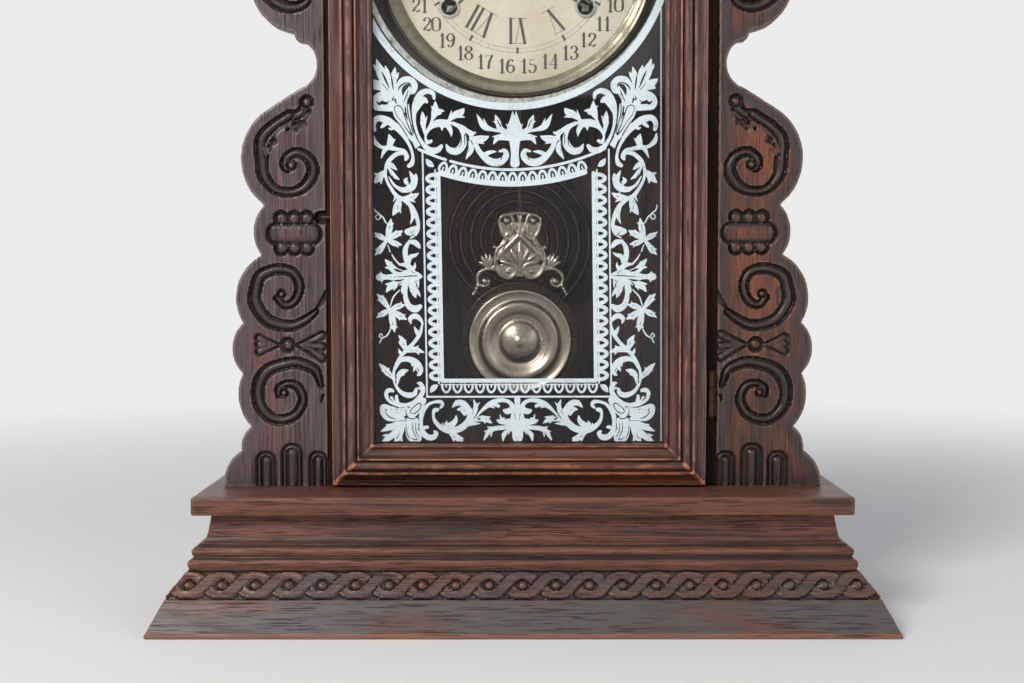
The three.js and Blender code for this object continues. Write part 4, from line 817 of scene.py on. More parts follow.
class Carving:
    """The front of a board: how far each point of its grid is pressed in, in millimetres."""

    def __init__(self, outline, step):
        lo, hi = outline.min(0), outline.max(0)
        self.sheet = Sheet(lo[0] - 2 * step, hi[0] + 2 * step, lo[1] - 2 * step, hi[1] + 2 * step, step, low=-3.0)
        self.sheet.fill(outline)
        self.sheet.field = np.where(self.sheet.field > 0, depth_inside(self.sheet, outline), self.sheet.field)
        self.x, self.z = self.sheet.x, self.sheet.z
        self.depth = np.zeros((len(self.x), len(self.z)))

    def near(self, points, widths):
        """For each grid point, its distance to a line as a share of the line's half-width there."""
        share = np.full(self.depth.shape, 9.0)
        p = np.asarray(points, float)
        w = np.full(len(p), float(widths)) if np.ndim(widths) == 0 else np.asarray(widths, float)
        for cx, cz, w in spline(np.column_stack([p, w]), .4):
            if w <= .05:
                continue
            found = self.sheet.block(cx, cz, w * 1.3)
            if found:
                where, d = found
                share[where] = np.minimum(share[where], d / w)
        return share

    def press(self, points, widths, shape, scale=1.0):
        """Gives the ground along a line the cross-section shape, in place of what was there."""
        share = self.near(points, widths)
        self.depth = np.where(share < 1.03, shape(share) * scale, self.depth)

    def raise_up(self, points, widths, top, base=-2.0):
        """A rounded ridge that stands in sunk ground."""
        share = self.near(points, widths)
        h = base + (top - base) * np.sqrt(np.clip(1 - share ** 2, 0, 1))
        self.depth = np.where(share < 1, np.maximum(self.depth, h), self.depth)

    def arch(self, points, half, across, height):
        """A reeded arch round a line; across is the way in from its edge, in millimetres."""
        share = self.near(points, half)
        shape = np.interp(half - share * half, across, height)
        self.depth = np.where(share < 1.0, shape, self.depth)

    def piece(self, node, finish, edge=.9):
        """The board that stands for the CAD node, with its front edge rounded to the radius edge."""
        pts, faces, rim = self.sheet.mesh()
        inside = np.clip(bilinear(self.sheet, pts, self.sheet.field), 0, None)
        depth = bilinear(self.sheet, pts, self.depth)
        rounding = edge - np.sqrt(np.clip(edge * edge - (edge - inside) ** 2, 0, None))
        y = BOARD_FRONT - depth + np.where(inside < edge, rounding, 0)
        front = np.column_stack([pts[:, 0], y, pts[:, 1]])
        order = {a: b for a, b in rim}
        n = len(front)
        rim_ids = sorted({v for e in rim for v in e})
        back_of = {v: n + i for i, v in enumerate(rim_ids)}
        mid_of = {v: n + len(rim_ids) + i for i, v in enumerate(rim_ids)}
        back = front[rim_ids].copy()
        back[:, 1] = BOARD_BACK
        mid = front[rim_ids].copy()
        mid[:, 1] = BOARD_BACK - .5
        for a, b in rim:
            faces.append([b, a, mid_of[a], mid_of[b]])
            faces.append([mid_of[b], mid_of[a], back_of[a], back_of[b]])
        while order:
            start = next(iter(order))
            loop, at = [], start
            while at in order:
                loop.append(back_of[at])
                at = order.pop(at)
            if len(loop) > 60:
                faces.append(loop[::-1])
        points = np.vstack([front, back, mid])
        obj = make(node + "_carved", points, faces, "case", [node], finish, relief=10)
        rim = np.concatenate([np.clip(1.25 - inside / 9.0, 0, 1), np.ones(len(back) + len(mid))])
        mark(obj.data, "rim", rim)
        pressed = np.concatenate([np.clip(-depth, 0, 9), np.zeros(len(back) + len(mid))])
        mark(obj.data, "pressed", pressed)


def bilinear(sheet, pts, field):
    """The values of a field on the sheet's grid at points between its lines."""
    fx = np.clip((pts[:, 0] - sheet.x[0]) / sheet.step, 0, len(sheet.x) - 1.001)
    fz = np.clip((pts[:, 1] - sheet.z[0]) / sheet.step, 0, len(sheet.z) - 1.001)
    i, k = fx.astype(int), fz.astype(int)
    a, b = fx - i, fz - k
    return (field[i, k] * (1 - a) * (1 - b) + field[i + 1, k] * a * (1 - b) + field[i, k + 1] * (1 - a) * b
            + field[i + 1, k + 1] * a * b)


UPPER_SCROLL = [(124.3, 267.5, 3.0), (134.1, 260.8, 3.3), (139.4, 254.2, 3.6), (139.2, 244.4, 3.8), (138.2, 235.4, 3.5),
                (132.3, 228, 2.9), (124, 226.5, 2.7), (116.9, 229.1, 3.2), (112.6, 234.7, 3.6), (111.8, 239.9, 3.4),
                (114.7, 245.1, 3.1), (120.8, 247.7, 2.9), (126.1, 244.7, 2.6), (127.2, 240.7, 2.3), (125.7, 238.4, 2.0)]
MIDDLE_SCROLL = [(111.1, 162.2, 2.0), (117.5, 157.5, 2.8), (125.6, 154.6, 3.3), (136.9, 157.7, 3.7),
                 (143.6, 167.0, 3.8),
                 (143.1, 175.4, 3.6), (140.3, 182.0, 3.4), (131.3, 185.3, 3.2), (123.1, 183.3, 3.0),
                 (119.7, 176.1, 2.8),
                 (122.4, 168.3, 2.6), (127.8, 165.9, 2.4), (131.9, 169.8, 2.0)]
LOWER_SCROLL = [(108.5, 122.5, 1.6), (111.4, 130.3, 2.8), (117.5, 133.8, 3.2), (124.3, 134.9, 3.4),
                (136.5, 131.2, 3.7), (142.2, 123.6, 3.8),
                (142.3, 112.9, 3.6), (136.8, 105.6, 3.3), (130, 103.7, 3.1), (122.4, 106.8, 3.0), (118.5, 114.4, 2.8),
                (120.8, 121.3, 2.6), (126, 123.5, 2.4), (131.3, 121.3, 2.1), (131.7, 117.4, 1.9)]


def scroll(c, rows, eye, place, r):
    """A pressed volute with the round eye it ends in. Each row is a place and the half-width there."""
    c.press([place(u, v) for u, v, _ in rows], [w for *_, w in rows], channel)
    c.press([place(*eye)], r, bowl)


def carve_wing(c, place):
    """The pressed ornament of one wing. place turns (distance from the middle, height) into the board's x, z."""
    P = lambda pts: [place(u, v) for u, v in pts]
    # teardrop that runs on into the upper scroll, with a folded leaf on its inner side
    c.press(P([(114.9, 274.4), (116.2, 270.6), (119.8, 267.6), (124.3, 267.0), (130.2, 263.6)]),
            [3.9, 3.4, 3.0, 3.0, 3.2], channel)
    c.press(P([(114.8, 274.4)]), 4.1, bowl)
    scroll(c, UPPER_SCROLL, (123.5, 240.8), place, .84 * 3.9)
    leaf = P([(112.6, 271.2), (112.2, 268.8), (113.9, 266.6), (115.1, 264.5), (114.6, 262.1), (117.2, 261.2),
              (119.2, 259.9), (120.0, 258.0), (121.2, 257.8), (124.0, 259.9), (127.3, 260.1), (130.0, 258.6),
              (131.7, 256.3), (130.8, 254.9), (130.7, 252.5), (132.1, 251.1), (133.5, 249.5), (135.0, 247.4),
              (136.4, 244.4), (138.9, 244.4), (138.6, 250.4), (134.9, 256.4), (128.1, 261.5), (121.3, 264.9),
              (115.2, 270.1)])
    inside = point_in(np.array(leaf), c.x[:, None], c.z[None, :]) & (c.depth > -1.2)
    edge = c.near(leaf + leaf[:1], .9)
    c.depth = np.where(inside, np.minimum(c.depth, np.interp(edge, [0, 1.0], [-.5, -1.7])), c.depth)
    for line, w, top in (
            ([(113.6, 268.6), (117.9, 264.9), (123.6, 262.6), (128.1, 261.2), (133.0, 257.1), (136.3, 252.6),
              (137.8, 247.4)],
             .95, -.3),
            ([(116.1, 262.4), (119.8, 261.4), (124.3, 261.1), (128.7, 260.2)], .8, -.45),
            ([(120.7, 258.4), (122.8, 259.8), (125.8, 260.6)], .8, -.5),
            ([(131.4, 255.5), (133.1, 254.1), (134.6, 252.3)], .8, -.45),
            ([(131.2, 252.0), (133.4, 251.0), (135.6, 248.9), (136.8, 245.6)], .9, -.4)):
        c.raise_up(P(line), w, top, -1.7)
    for u, v, r in ((118.5, 263.5, 1.5), (121.7, 262.9, 1.1), (133.3, 254.0, 1.2), (125.1, 259.9, .9)):
        c.press(P([(u, v)]), r, pit)
    # cluster of beads round a roll
    ground = np.full(c.depth.shape, 9.0)
    for v0, r in ((212.8, 4.3), (196.4, 4.2)):
        for u0 in (129.3, 122.3, 115.4):
            ground = np.minimum(ground, c.near(P([(u0, v0)]), r))
    ground = np.minimum(ground, c.near(P([(113.4, 204.2), (131.4, 204.2)]), [6.6, 6.6]))
    c.depth = np.where(ground < 1.05, np.interp(ground, [.7, .86, .97, 1.05], [-2.5, -2.3, -.7, 0]), c.depth)
    for v0 in (212.4, 196.6):
        for u0 in (129.1, 122.3, 115.5):
            c.raise_up(P([(u0, v0)]), 3.0, -.35)
    c.raise_up(P([(113.4, 204.4), (122.4, 204.4), (131.4, 204.4)]), [4.9, 5.0, 4.9], -.35)
    for v0 in (206.6, 202.2):
        c.raise_up(P([(111.8, v0), (122.4, v0), (133.0, v0)]), [2.5, 2.6, 2.5], -.55)
    # crescent, middle scroll, bow, lower scroll
    c.press(P([(105.6, 173.6), (107.4, 168.2), (110.9, 164.0)]), [.7, 1.9, .8], groove)
    scroll(c, MIDDLE_SCROLL, (129.6, 171.8), place, .84 * 3.3)
    c.press(P([(126.4, 144.4)]), 4.6, bowl)
    for side, u0, u1, v0, v1 in ((1, 131.6, 144.2, 138.4, 150.5), (-1, 121.0, 105.4, 134.9, 152.0)):
        middle = .5 * (v0 + v1)
        ray = lambda start, end, e: P([(u0 + side * start, 144.4), (.5 * (u0 + u1), .5 * (144.4 + e)),
                                       (u1 - side * end, e)])
        fan = np.minimum.reduce([c.near(ray(0, 2.2, e), [1.4, 2.4, 2.7]) for e in (v0 + 2.3, middle, v1 - 2.3)])
        sunk = np.minimum(c.depth, np.interp(fan, [.5, .8, .97, 1.05], [-1.9, -1.6, -.4, 0]))
        c.depth = np.where(fan < 1.05, sunk, c.depth)
        for e in (v0 + 2.6, middle, v1 - 2.6):
            c.raise_up(ray(.8, 2.6, e), [.7, 1.5, 1.9], -.4)
    scroll(c, LOWER_SCROLL, (128.8, 118.4), place, .84 * 3.3)
    c.press(P([(107.6, 117.2), (108.4, 113.6)]), [1.0, .5], groove)
    # three reeded arches that run off the bottom edge
    for u0, u1, top in ((132.7, 145.0, 87.3), (118.5, 131.2, 91.5), (104.9, 116.4, 87.3)):
        half, middle = .5 * (u1 - u0), .5 * (u0 + u1)
        c.arch(P([(middle, 66.0), (middle, top - half)]), half, [0, .5, 1.2, 1.6, 2.1, 2.6, 3.0, 3.5, half - .9, half],
               [0, -1.0, -1.7, -1.5, -.5, -.35, -1.2, -2.0, -.45, -.35])
    # start of the upper lobe's scroll, and the rest of it as such a wing usually goes on
    top = [(112.4, 330.5, 2.0), (115.2, 326.6, 2.6), (120.4, 324.4, 3.1), (127.5, 325.3, 3.5), (134.6, 330.4, 3.7),
           (138.2, 338.6, 3.8),
           (136.6, 347.6, 3.6), (130.4, 353.4, 3.3), (122.2, 353.6, 3.1), (116.4, 348.4, 2.9), (116.2, 341.6, 2.6),
           (120.6, 337.6, 2.3), (125.2, 339.4, 2.0)]
    scroll(c, top, (122.8, 343.4), place, .84 * 3.1)


def carve_wing_top(c, place):
    """The wing's top: bead, stem and leaf spray in the same pressed style."""
    P = lambda pts: [place(u, v) for u, v in pts]
    c.press(P([(113.2, 366.0), (112.8, 380.0), (115.0, 394.0), (119.4, 405.0)]), [2.2, 3.0, 3.0, 1.6], channel)
    for (u, v), e in (((113.0, 372.0), (121.8, 377.5)), ((113.4, 384.0), (123.4, 391.0)),
                      ((116.0, 396.0), (125.2, 404.4))):
        c.press(P([(u + 3.4, v), (.5 * (u + e[0]) + 3.0, .5 * (v + e[1]) - .8), e]), [1.3, 2.5, .9], groove)
    c.press(P([(112.8, 356.6)]), 3.2, bowl)
    for k in range(3):
        c.press(P([(111.0 + 4.2 * k, 424.5 + 3.0 * (k == 1))]), 3.0, bowl)
    for u0, half, top in ((110.6, 4.4, 461.0), (120.2, 4.6, 452.0)):
        c.arch(P([(u0, 437.0), (u0, top - half)]), half, [0, .6, 1.2, 1.8, 2.4, half - .6, half],
               [0, -1.2, -1.7, -1.1, -2.0, -.45, -.35])


def wing(side):
    node = "side_wing_left" if side < 0 else "side_wing_right"
    c = Carving(front_outline(node), .72)
    shift = 0.0 if side < 0 else -.6
    place = lambda u, v: (side * (u + shift), v)
    carve_wing(c, place)
    carve_wing_top(c, place)
    if side < 0:
        # the slot for the door's pull pin is cut part of the way into the board; the painted shade of pressed ground
        # makes it black inside
        slot = [(-111.9, 213.0), (-109.6, 216.0), (-105.2, 216.2), (-105.2, 209.8), (-109.6, 210.0)]
        slot = point_in(np.array(slot), c.x[:, None], c.z[None, :])
        c.sheet.field = np.where(slot, np.maximum(c.sheet.field, 2.0), c.sheet.field)
        c.depth = np.where(slot, -6.5, c.depth)
    c.piece(node, left_oak if side < 0 else right_oak)


def crest():
    c = Carving(front_outline("crest_panel"), .8)
    big = [(12.0, 492.0, 2.0), (22.0, 487.0, 2.9), (34.0, 486.8, 3.5), (46.0, 492.0, 3.9), (53.4, 502.6, 4.1),
           (53.0, 515.4, 4.0),
           (44.8, 524.6, 3.7), (33.2, 525.6, 3.4), (25.4, 518.4, 3.1), (25.6, 508.4, 2.8), (32.6, 502.8, 2.5),
           (39.4, 505.6, 2.2)]
    small = [(64.0, 489.0, 1.8), (74.0, 484.6, 2.7), (86.6, 485.2, 3.3), (96.0, 491.6, 3.4), (97.0, 500.8, 3.2),
             (89.6, 506.0, 2.9),
             (81.4, 503.2, 2.6), (80.4, 496.6, 2.3)]
    for side in (-1, 1):
        place = lambda u, v: (side * u, v)
        scroll(c, big, (37.0, 511.4), place, 3.9)
        scroll(c, small, (86.4, 495.4), place, 3.1)
        c.press([place(107.0, 486.5)], 3.6, bowl)
        c.press([place(107.0, 499.0)], 3.0, bowl)
        for (u0, v0), (u1, v1), w in (((60.6, 505.0), (66.0, 524.0), 2.6), ((58.0, 520.0), (58.6, 536.4), 2.8),
                                      ((47.4, 531.4), (44.0, 547.4), 2.9)):
            c.press([place(u0, v0), place(.5 * (u0 + u1) + 1.2, .5 * (v0 + v1)), place(u1, v1)], [.7, w, .9], groove)
        for k, (reach, top, w) in enumerate(((6.4, 571.0, 3.0), (14.0, 562.0, 3.0), (20.6, 548.6, 2.8))):
            c.press([place(2.6 + k * 1.4, 531.0 - k * 1.5), place(.62 * reach + 2.0, .5 * (531.0 + top)),
                     place(reach, top)],
                    [1.3, w, 1.2], channel, .95)
    c.press([(0, 531.0), (0, 552.0), (0, 574.0)], [1.5, 3.4, 1.3], channel)
    for v, r in ((523.0, 5.2), (507.5, 3.7), (495.5, 3.0)):
        c.press([(0, v)], r, bowl)
    c.piece("crest_panel", wing_oak)


# ---------------------------------------------------------------- base mouldings with the woven band

BASE_LINE = [(0, 0), (0, 1.3), (1.2, 3.6), (8.2, 17.4), (8.9, 18.0), (18.3, 29.9), (18.6, 30.3), (18.5, 31.6),
             (17.9, 33.2), (18.0, 34.6),
             (18.9, 35.7), (20.3, 36.0), (20.6, 37.2), (19.9, 38.6), (19.7, 40.2), (20.6, 41.6), (22.3, 42.3),
             (23.4, 43.3), (24.9, 44.0),
             (26.0, 45.4), (26.8, 49.0), (27.6, 53.0), (28.4, 58.3)]
BAND = np.array([(8.9, 18.0), (18.3, 29.9)])
PITCH = 17.1
# Heights up the base line, and how much each stands rubbed (+), or darkened (-) as painted shadow beneath the
# mouldings.
BASE_WEAR_AND_SHADE = ([0, 2.0, 3.4, 4.6, 17.2, 18.2, 18.7, 29.4, 29.8, 30.4, 32.0, 33.2, 34.6, 35.5, 36.3, 37.4, 38.6, 39.8,
              41.2, 42.4,
              43.4, 44.4, 46, 56.5, 58],
             [.16, .16, .03, 0, 0, -.25, -.13, -.13, -.3, -.2, .03, .16, .08, -.1, -.45, -.1, .1, .2, .02, -.4, -.15,
              .1, 0, 0,
              -.35])


def fine_line(points, step):
    """An open line with a point about every step millimetres and at each of its corners."""
    p = np.array(points, float)
    out = []
    for a, b in zip(p, p[1:]):
        n = max(1, int(round(np.linalg.norm(b - a) / step)))
        out.append(a + (b - a) * np.linspace(0, 1, n, endpoint=False)[:, None])
    return np.vstack(out + [p[-1:]])


def woven(x, v, wide):
    """Height of the woven band, v up from its lower edge: two flat ribbons that cross in turn between beads."""
    mid, reach = wide / 2, wide * .345
    k = np.pi / PITCH
    fall = mid + reach * np.cos(x * k)
    rise = mid - reach * np.cos(x * k)
    lean = np.sqrt(1 + (reach * k * np.sin(x * k)) ** 2)
    half = 2.15 + 1.15 * np.sin(x * k) ** 2
    tf, tr = np.abs(v - fall) / lean / half, np.abs(v - rise) / lean / half
    odd = np.mod(np.floor(x / PITCH), 2)
    over, under = np.where(odd > 0, tf, tr), np.where(odd > 0, tr, tf)
    ribbon = lambda t: np.interp(t, [0, .5, .74, .84, .93, 1.0], [.62, .78, .95, .8, .1, -1.0])
    h = np.full(np.broadcast(x, v).shape, -1.2)
    dx = x - PITCH * np.round(x / PITCH)
    bead = np.hypot(dx, v - mid)
    h = np.where(bead < 2.45, -1.2 + 2.1 * np.sqrt(np.clip(1 - (bead / 2.45) ** 2, 0, 1)), h)
    h = np.where(under < 1, np.maximum(h, ribbon(under) - .1), h)
    h = np.where(over < 1.12, np.where(over < 1, ribbon(over), -1.0), h)
    edge = np.minimum(v, wide - v)
    return np.where(edge < .6, np.minimum(h, -.1 + .2 * edge), h)


def base_piece(name, node, finish, place_of, length, half_shift):
    """A moulding swept along its length. place_of carries the profile to points, with the place along the band last."""
    step = .78
    line = fine_line(BASE_LINE, step)
    tangent = np.gradient(line, axis=0)
    tangent /= np.linalg.norm(tangent, axis=1)[:, None]
    normal = np.column_stack([-tangent[:, 1], tangent[:, 0]])
    a, b = BAND
    wide = np.linalg.norm(b - a)
    along = (line - a) @ ((b - a) / wide)
    in_band = (along > -.01) & (along < wide + .01) & (line[:, 1] >= 17.9) & (line[:, 1] <= 30.0)
    n = int(length / step)
    rows = []
    back = np.array([(40.0, 58.3), (40.0, 0.0)])
    for s in np.linspace(0, 1, n):
        x = place_of(s, line)[:, 3]
        bulge = np.where(in_band, woven(x - half_shift, np.clip(along, 0, wide), wide), 0.0)
        rough = .05 * np.sin(x * .11 + line[:, 1] * .7)
        rows.append(place_of(s, np.vstack([line + normal * (bulge + rough)[:, None], back]))[:, :3])
    pts = np.vstack(rows)
    faces = facing_out(pts, skin(n, len(line) + 2))
    # rubbed places and painted shadow lines along the moulding
    extra = np.tile(np.concatenate([np.interp(line[:, 1], *BASE_WEAR_AND_SHADE), [0, 0]]), n)
    make(name, pts, faces, "case", [node], finish, relief=9, extra=extra)


def base():
    def front(s, ring):
        x = (HALF_WIDTH - ring[:, 0]) * (2 * s - 1)
        return np.column_stack([x, -HALF_DEPTH + ring[:, 0], ring[:, 1], x])

    def flank(side):
        def place(s, ring):
            y = (-HALF_DEPTH + ring[:, 0]) * (1 - s) + HALF_DEPTH * s
            return np.column_stack([side * (HALF_WIDTH - ring[:, 0]), y, ring[:, 1], y])
        return place

    base_piece("base_front_woven", "base_front_moulding", base_oak, front, 381, 0.0)
    base_piece("base_left_woven", "base_side_moulding_left", side_oak, flank(-1), 124, -50.0)
    base_piece("base_right_woven", "base_side_moulding_right", side_oak, flank(1), 124, -50.0)
    board("base_top_board", "case", base_oak, 1.1, "base_top_board_planed")


# ---------------------------------------------------------------- door frame

DOOR_LINE = [(0, -9.7), (0, -12.6), (.4, -13.6), (1.2, -14.1), (2.0, -13.8), (2.5, -13.1), (3.6, -12.7), (5.0, -13.1),
             (6.2, -14.1), (7.0, -15.5),
             (7.35, -17.1), (7.8, -17.7), (8.3, -17.5), (8.75, -16.3), (9.05, -16.4), (9.35, -17.4), (10.1, -18.4),
             (11.4, -18.8), (12.7, -18.5),
             (13.6, -17.5), (13.95, -16.4), (14.25, -16.3), (14.6, -17.5), (15.2, -17.75), (15.9, -17.6),
             (16.1, -16.7), (16.8, -16.0),
             (17.6, -15.0), (18.6, -13.7), (19.9, -12.7), (21.2, -12.3), (22.3, -11.9), (22.5, -11.3)]
SIGHT = (-79.4, 75.9, 91.7, 442.05)
# Places across the door's profile, and how much each stands rubbed (+), along its inner edge also a painted highlight,
# or darker (-).
DOOR_WEAR_AND_HIGHLIGHT = ([.2, 1.2, 2.2, 2.9, 3.2, 6.6, 7.6, 8.2, 8.6, 9.2, 9.9, 11.0, 12.2, 13.2, 13.9, 14.3, 14.7, 15.4, 16.0,
              16.4, 20.8,
              22.2, 22.5],
             [0, .10, .04, -.1, 0, 0, .12, .08, -.3, -.3, .02, .13, .12, .0, -.3, -.3, .04, .12, .02, -.05, -.02, .06,
              .06])


def door_frame():
    line = np.vstack([spline(DOOR_LINE[a:b], .42) for a, b in ((0, 11), (10, 15), (14, 22), (21, 25), (24, 33))])
    line = line[np.r_[True, np.linalg.norm(np.diff(line, axis=0), axis=1) > .05]]
    ring = np.vstack([line, [(22.5, -5.0), (4.4, -5.0), (4.4, -9.7)]])
    x0, x1, z0, z1 = SIGHT

    def stile(x, side):
        return lambda s, r: np.column_stack([x + side * r[:, 0], r[:, 1],
                                             (z0 - r[:, 0]) * (1 - s) + (z1 + r[:, 0]) * s])

    def rail(z, side):
        return lambda s, r: np.column_stack([(x0 - r[:, 0]) * (1 - s) + (x1 + r[:, 0]) * s, r[:, 1],
                                             z + side * r[:, 0]])

    for node, finish, place, length in (("door_stile_left", door_up, stile(x0, -1), 395),
                                        ("door_stile_right", door_up, stile(x1, 1), 395),
                                        ("door_rail_bottom", door_across, rail(z0, -1), 200),
                                        ("door_rail_top", door_across, rail(z1, 1), 200)):
        name = node + "_moulded"
        n = int(length / 2.6)
        rng = np.random.RandomState(len(name))
        sway = np.interp(np.linspace(0, 1, n), np.linspace(0, 1, 12), rng.uniform(-.07, .07, 12))
        rows = []
        for s, w in zip(np.linspace(0, 1, n), sway):
            r = ring.copy()
            r[:len(line), 1] += w * np.sin(np.linspace(0, 3, len(line)))
            rows.append(place(s, r))
        pts = np.vstack(rows)
        # rubbed places, a painted highlight along the inner edge, and darker quirks
        wear = np.interp(ring[:, 0], *DOOR_WEAR_AND_HIGHLIGHT)
        wear[len(line):] = 0
        # dirt lies along the mitres
        ends = np.zeros(n)
        for k, dirt in enumerate((-.5, -.22, -.08)):
            ends[[k, -1 - k]] = dirt
        extra = (wear[None, :] + ends[:, None]).ravel()
        make(name, pts, facing_out(pts, skin(n, len(ring))), "door", [node], finish, relief=7, sharp=50,
             extra=extra)


# ---------------------------------------------------------------- dial

def flat_piece(name, sheet, y, body, finish):
    """A print: what is drawn on the sheet, as a thin film at y."""
    pts, faces, _ = sheet.mesh()
    film = np.column_stack([pts[:, 0], np.full(len(pts), y), pts[:, 1]])
    make(name, film, faces, body, (), finish, smooth=False)


# Each figure is drawn with a broad nib: lines on a square 1 high, thick where they run upright.
FIGURES = {
    "0": (.62, [[(.31, .02), (.56, .2), (.56, .8), (.31, .98), (.06, .8), (.06, .2), (.31, .02)]], []),
    "1": (.5, [[(.27, .03), (.27, .95)]], [((.08, .02), (.46, .02)), ((.06, .78), (.27, .93))]),
    "2": (.6, [[(.10, .76), (.18, .93), (.36, .97), (.53, .80), (.46, .58), (.24, .33), (.08, .12)],
               [(.08, .10), (.24, .15), (.42, .04), (.54, .16)]], []),
    "3": (.58, [[(.09, .82), (.2, .95), (.38, .96), (.50, .76), (.38, .56), (.24, .53)],
                [(.24, .53), (.42, .50), (.54, .27), (.38, .05), (.18, .03), (.07, .18)]], []),
    "4": (.64, [[(.44, .03), (.44, .97)]], [((.28, .02), (.58, .02)), ((.44, .97), (.04, .27)),
                                            ((.04, .26), (.62, .26))]),
    "5": (.58, [[(.13, .56), (.3, .62), (.50, .50), (.52, .26), (.38, .05), (.18, .03), (.07, .17)]],
          [((.13, .56), (.13, .95)), ((.13, .95), (.46, .93))]),
    "6": (.6, [[(.48, .86), (.36, .97), (.18, .86), (.07, .5), (.09, .2), (.31, .02), (.53, .2), (.53, .42),
                (.33, .58), (.12, .42)]], []),
    "7": (.56, [[(.52, .92), (.32, .5), (.25, .05)]], [((.06, .78), (.08, .95)), ((.08, .91), (.52, .91))]),
    "8": (.58, [[(.29, .97), (.11, .86), (.12, .68), (.29, .56), (.50, .40), (.52, .18), (.29, .02), (.06, .18),
                 (.08, .40), (.29, .56), (.46, .70), (.47, .86), (.29, .97)]], []),
    "9": (.6, [[(.12, .14), (.24, .03), (.42, .14), (.53, .5), (.51, .8), (.29, .98), (.07, .8), (.07, .58),
                (.27, .42), (.48, .58)]], []),
}
MINUTE_RINGS = (49.0, 51.3)
BLOBS = {"2": [(.13, .77)], "3": [(.12, .81), (.11, .2)], "5": [(.11, .19)], "6": [(.46, .85)], "9": [(.14, .15)],
         "7": [(.25, .07)]}


def nib(points, thick, thin):
    """Points with the half-width a broad nib leaves: thick upright, thin level."""
    p = spline(points, .25)
    d = np.gradient(p, axis=0)
    steep = np.abs(d[:, 1]) / (np.hypot(d[:, 0], d[:, 1]) + 1e-9)
    return p, thin + (thick - thin) * steep ** 2.2


def draw_number(sheet, text, cx, cz, high):
    """A number that stands upright round (cx, cz), high millimetres tall."""
    gap = .05
    wide = sum(FIGURES[c][0] for c in text) + gap * (len(text) - 1)
    x = cx - wide * high / 2
    for c in text:
        w, bold, fine = FIGURES[c]
        at = lambda p: [(x + u * high, cz + (v - .5) * high) for u, v in p]
        for line in bold:
            p, width = nib(at(line), high * .088, high * .026)
            sheet.stroke(p, width)
        for line in fine:
            sheet.stroke(at(line), high * .026)
        for u, v in BLOBS.get(c, ()):
            sheet.stroke(at([(u, v)]), high * .062)
        x += (w + gap) * high


def draw_roman(sheet, text, angle, r0, r1):
    """Roman hour figure with its foot towards the dial's centre (angle clockwise from twelve)."""
    t = math.radians(angle)
    out, side = np.array([math.sin(t), math.cos(t)]), np.array([math.cos(t), -math.sin(t)])
    c = np.array(DIAL_CENTRE)
    high = r1 - r0
    unit = {"I": 3.1, "V": 7.2, "X": 7.4}
    wide = sum(unit[ch] for ch in text)
    squeeze = min(1.0, 15.5 / wide)
    x = -wide * squeeze / 2
    put = lambda u, v: tuple(c + out * (r0 + v * high) + side * u)
    thick, thin = .78 * squeeze ** .4, .17
    for ch in text:
        w = unit[ch] * squeeze
        m = x + w / 2
        if ch == "I":
            sheet.stroke([put(m, .02), put(m, .98)], thick)
        elif ch == "V":
            sheet.stroke([put(x + w * .16, .98), put(m, .03)], thick)
            sheet.stroke([put(x + w * .86, .98), put(m, .03)], thin)
        else:
            sheet.stroke([put(x + w * .14, .98), put(x + w * .84, .02)], thick)
            sheet.stroke([put(x + w * .86, .98), put(x + w * .16, .02)], thin)
        x += w
    for v in (0.0, 1.0):
        sheet.stroke([put(-wide * squeeze / 2 + .1, v), put(wide * squeeze / 2 - .1, v)], thin)


def dial():
    cx, cz = DIAL_CENTRE
    wide, high = 82.0, 74.5
    pan = Sheet(cx - 82.2, cx + 82.2, cz - 74.8, cz + 74.8, .8)
    pan.fill([(cx - wide, cz - high), (cx + wide, cz - high), (cx + wide, cz + high), (cx - wide, cz + high)])
    for hx, hz, r in dial_holes():
        pan.stroke([(hx, hz)], r, cut=True)
    pts, faces, rim = pan.mesh()
    # the tin isn't quite flat
    y = DIAL_FRONT + .05 * np.sin(pts[:, 0] * .09) * np.cos(pts[:, 1] * .07)
    p, f = backed(np.column_stack([pts[:, 0], y, pts[:, 1]]), faces, rim, DIAL_FRONT + 1)
    pan = make("dial_face", p, f, "case", ["dial_pan"], [PAPER, PAN_BLACK], smooth=False)
    for face in pan.data.polygons:
        if math.hypot(face.center.x * 1000 - cx, face.center.z * 1000 - cz) > 68.4 or face.center.y > .0085:
            face.material_index = 1
    drawn = Sheet(cx - 67.5, cx + 67.5, cz - 67.5, cz + 67.5, .17)
    for day in range(1, 32):
        t = math.radians(day * 360 / 31)
        draw_number(drawn, str(day), cx + 58.8 * math.sin(t), cz + 58.8 * math.cos(t), 7.6)
    for r in MINUTE_RINGS:
        drawn.stroke(arc(cx, cz, r, 0, 360, 180), .13)
    for minute in range(60):
        t = math.radians(6 * minute)
        ends = [(cx + r * math.sin(t), cz + r * math.cos(t)) for r in MINUTE_RINGS]
        drawn.stroke(ends, .62 if minute % 5 == 0 else .12)
    for hour, text in enumerate("XII I II III IIII V VI VII VIII IX X XI".split()):
        draw_roman(drawn, text, hour * 30, 33.0, 46.4)
    flat_piece("dial_figures", drawn, DIAL_FRONT - .07, "case", INK)
    bezel = [(66.9, 7.6), (66.95, 7.0), (67.4, 6.7), (68.3, 6.2), (69.3, 5.55), (70.4, 5.1), (71.3, 4.85), (72.0, 4.75),
             (72.6, 4.55), (73.0, 4.3), (73.5, 4.25), (73.9, 4.5), (74.1, 4.9), (74.5, 5.1), (74.9, 5.2), (75.3, 5.7),
             (75.4, 6.4), (75.2, 7.6)]
    p, f = lathe(spline(bezel, .35), DIAL_CENTRE, 200, closed=True)
    make("dial_bezel_rolled", p, f, "case", ["dial_bezel"], bezel_nickel, relief=8, sharp=50)


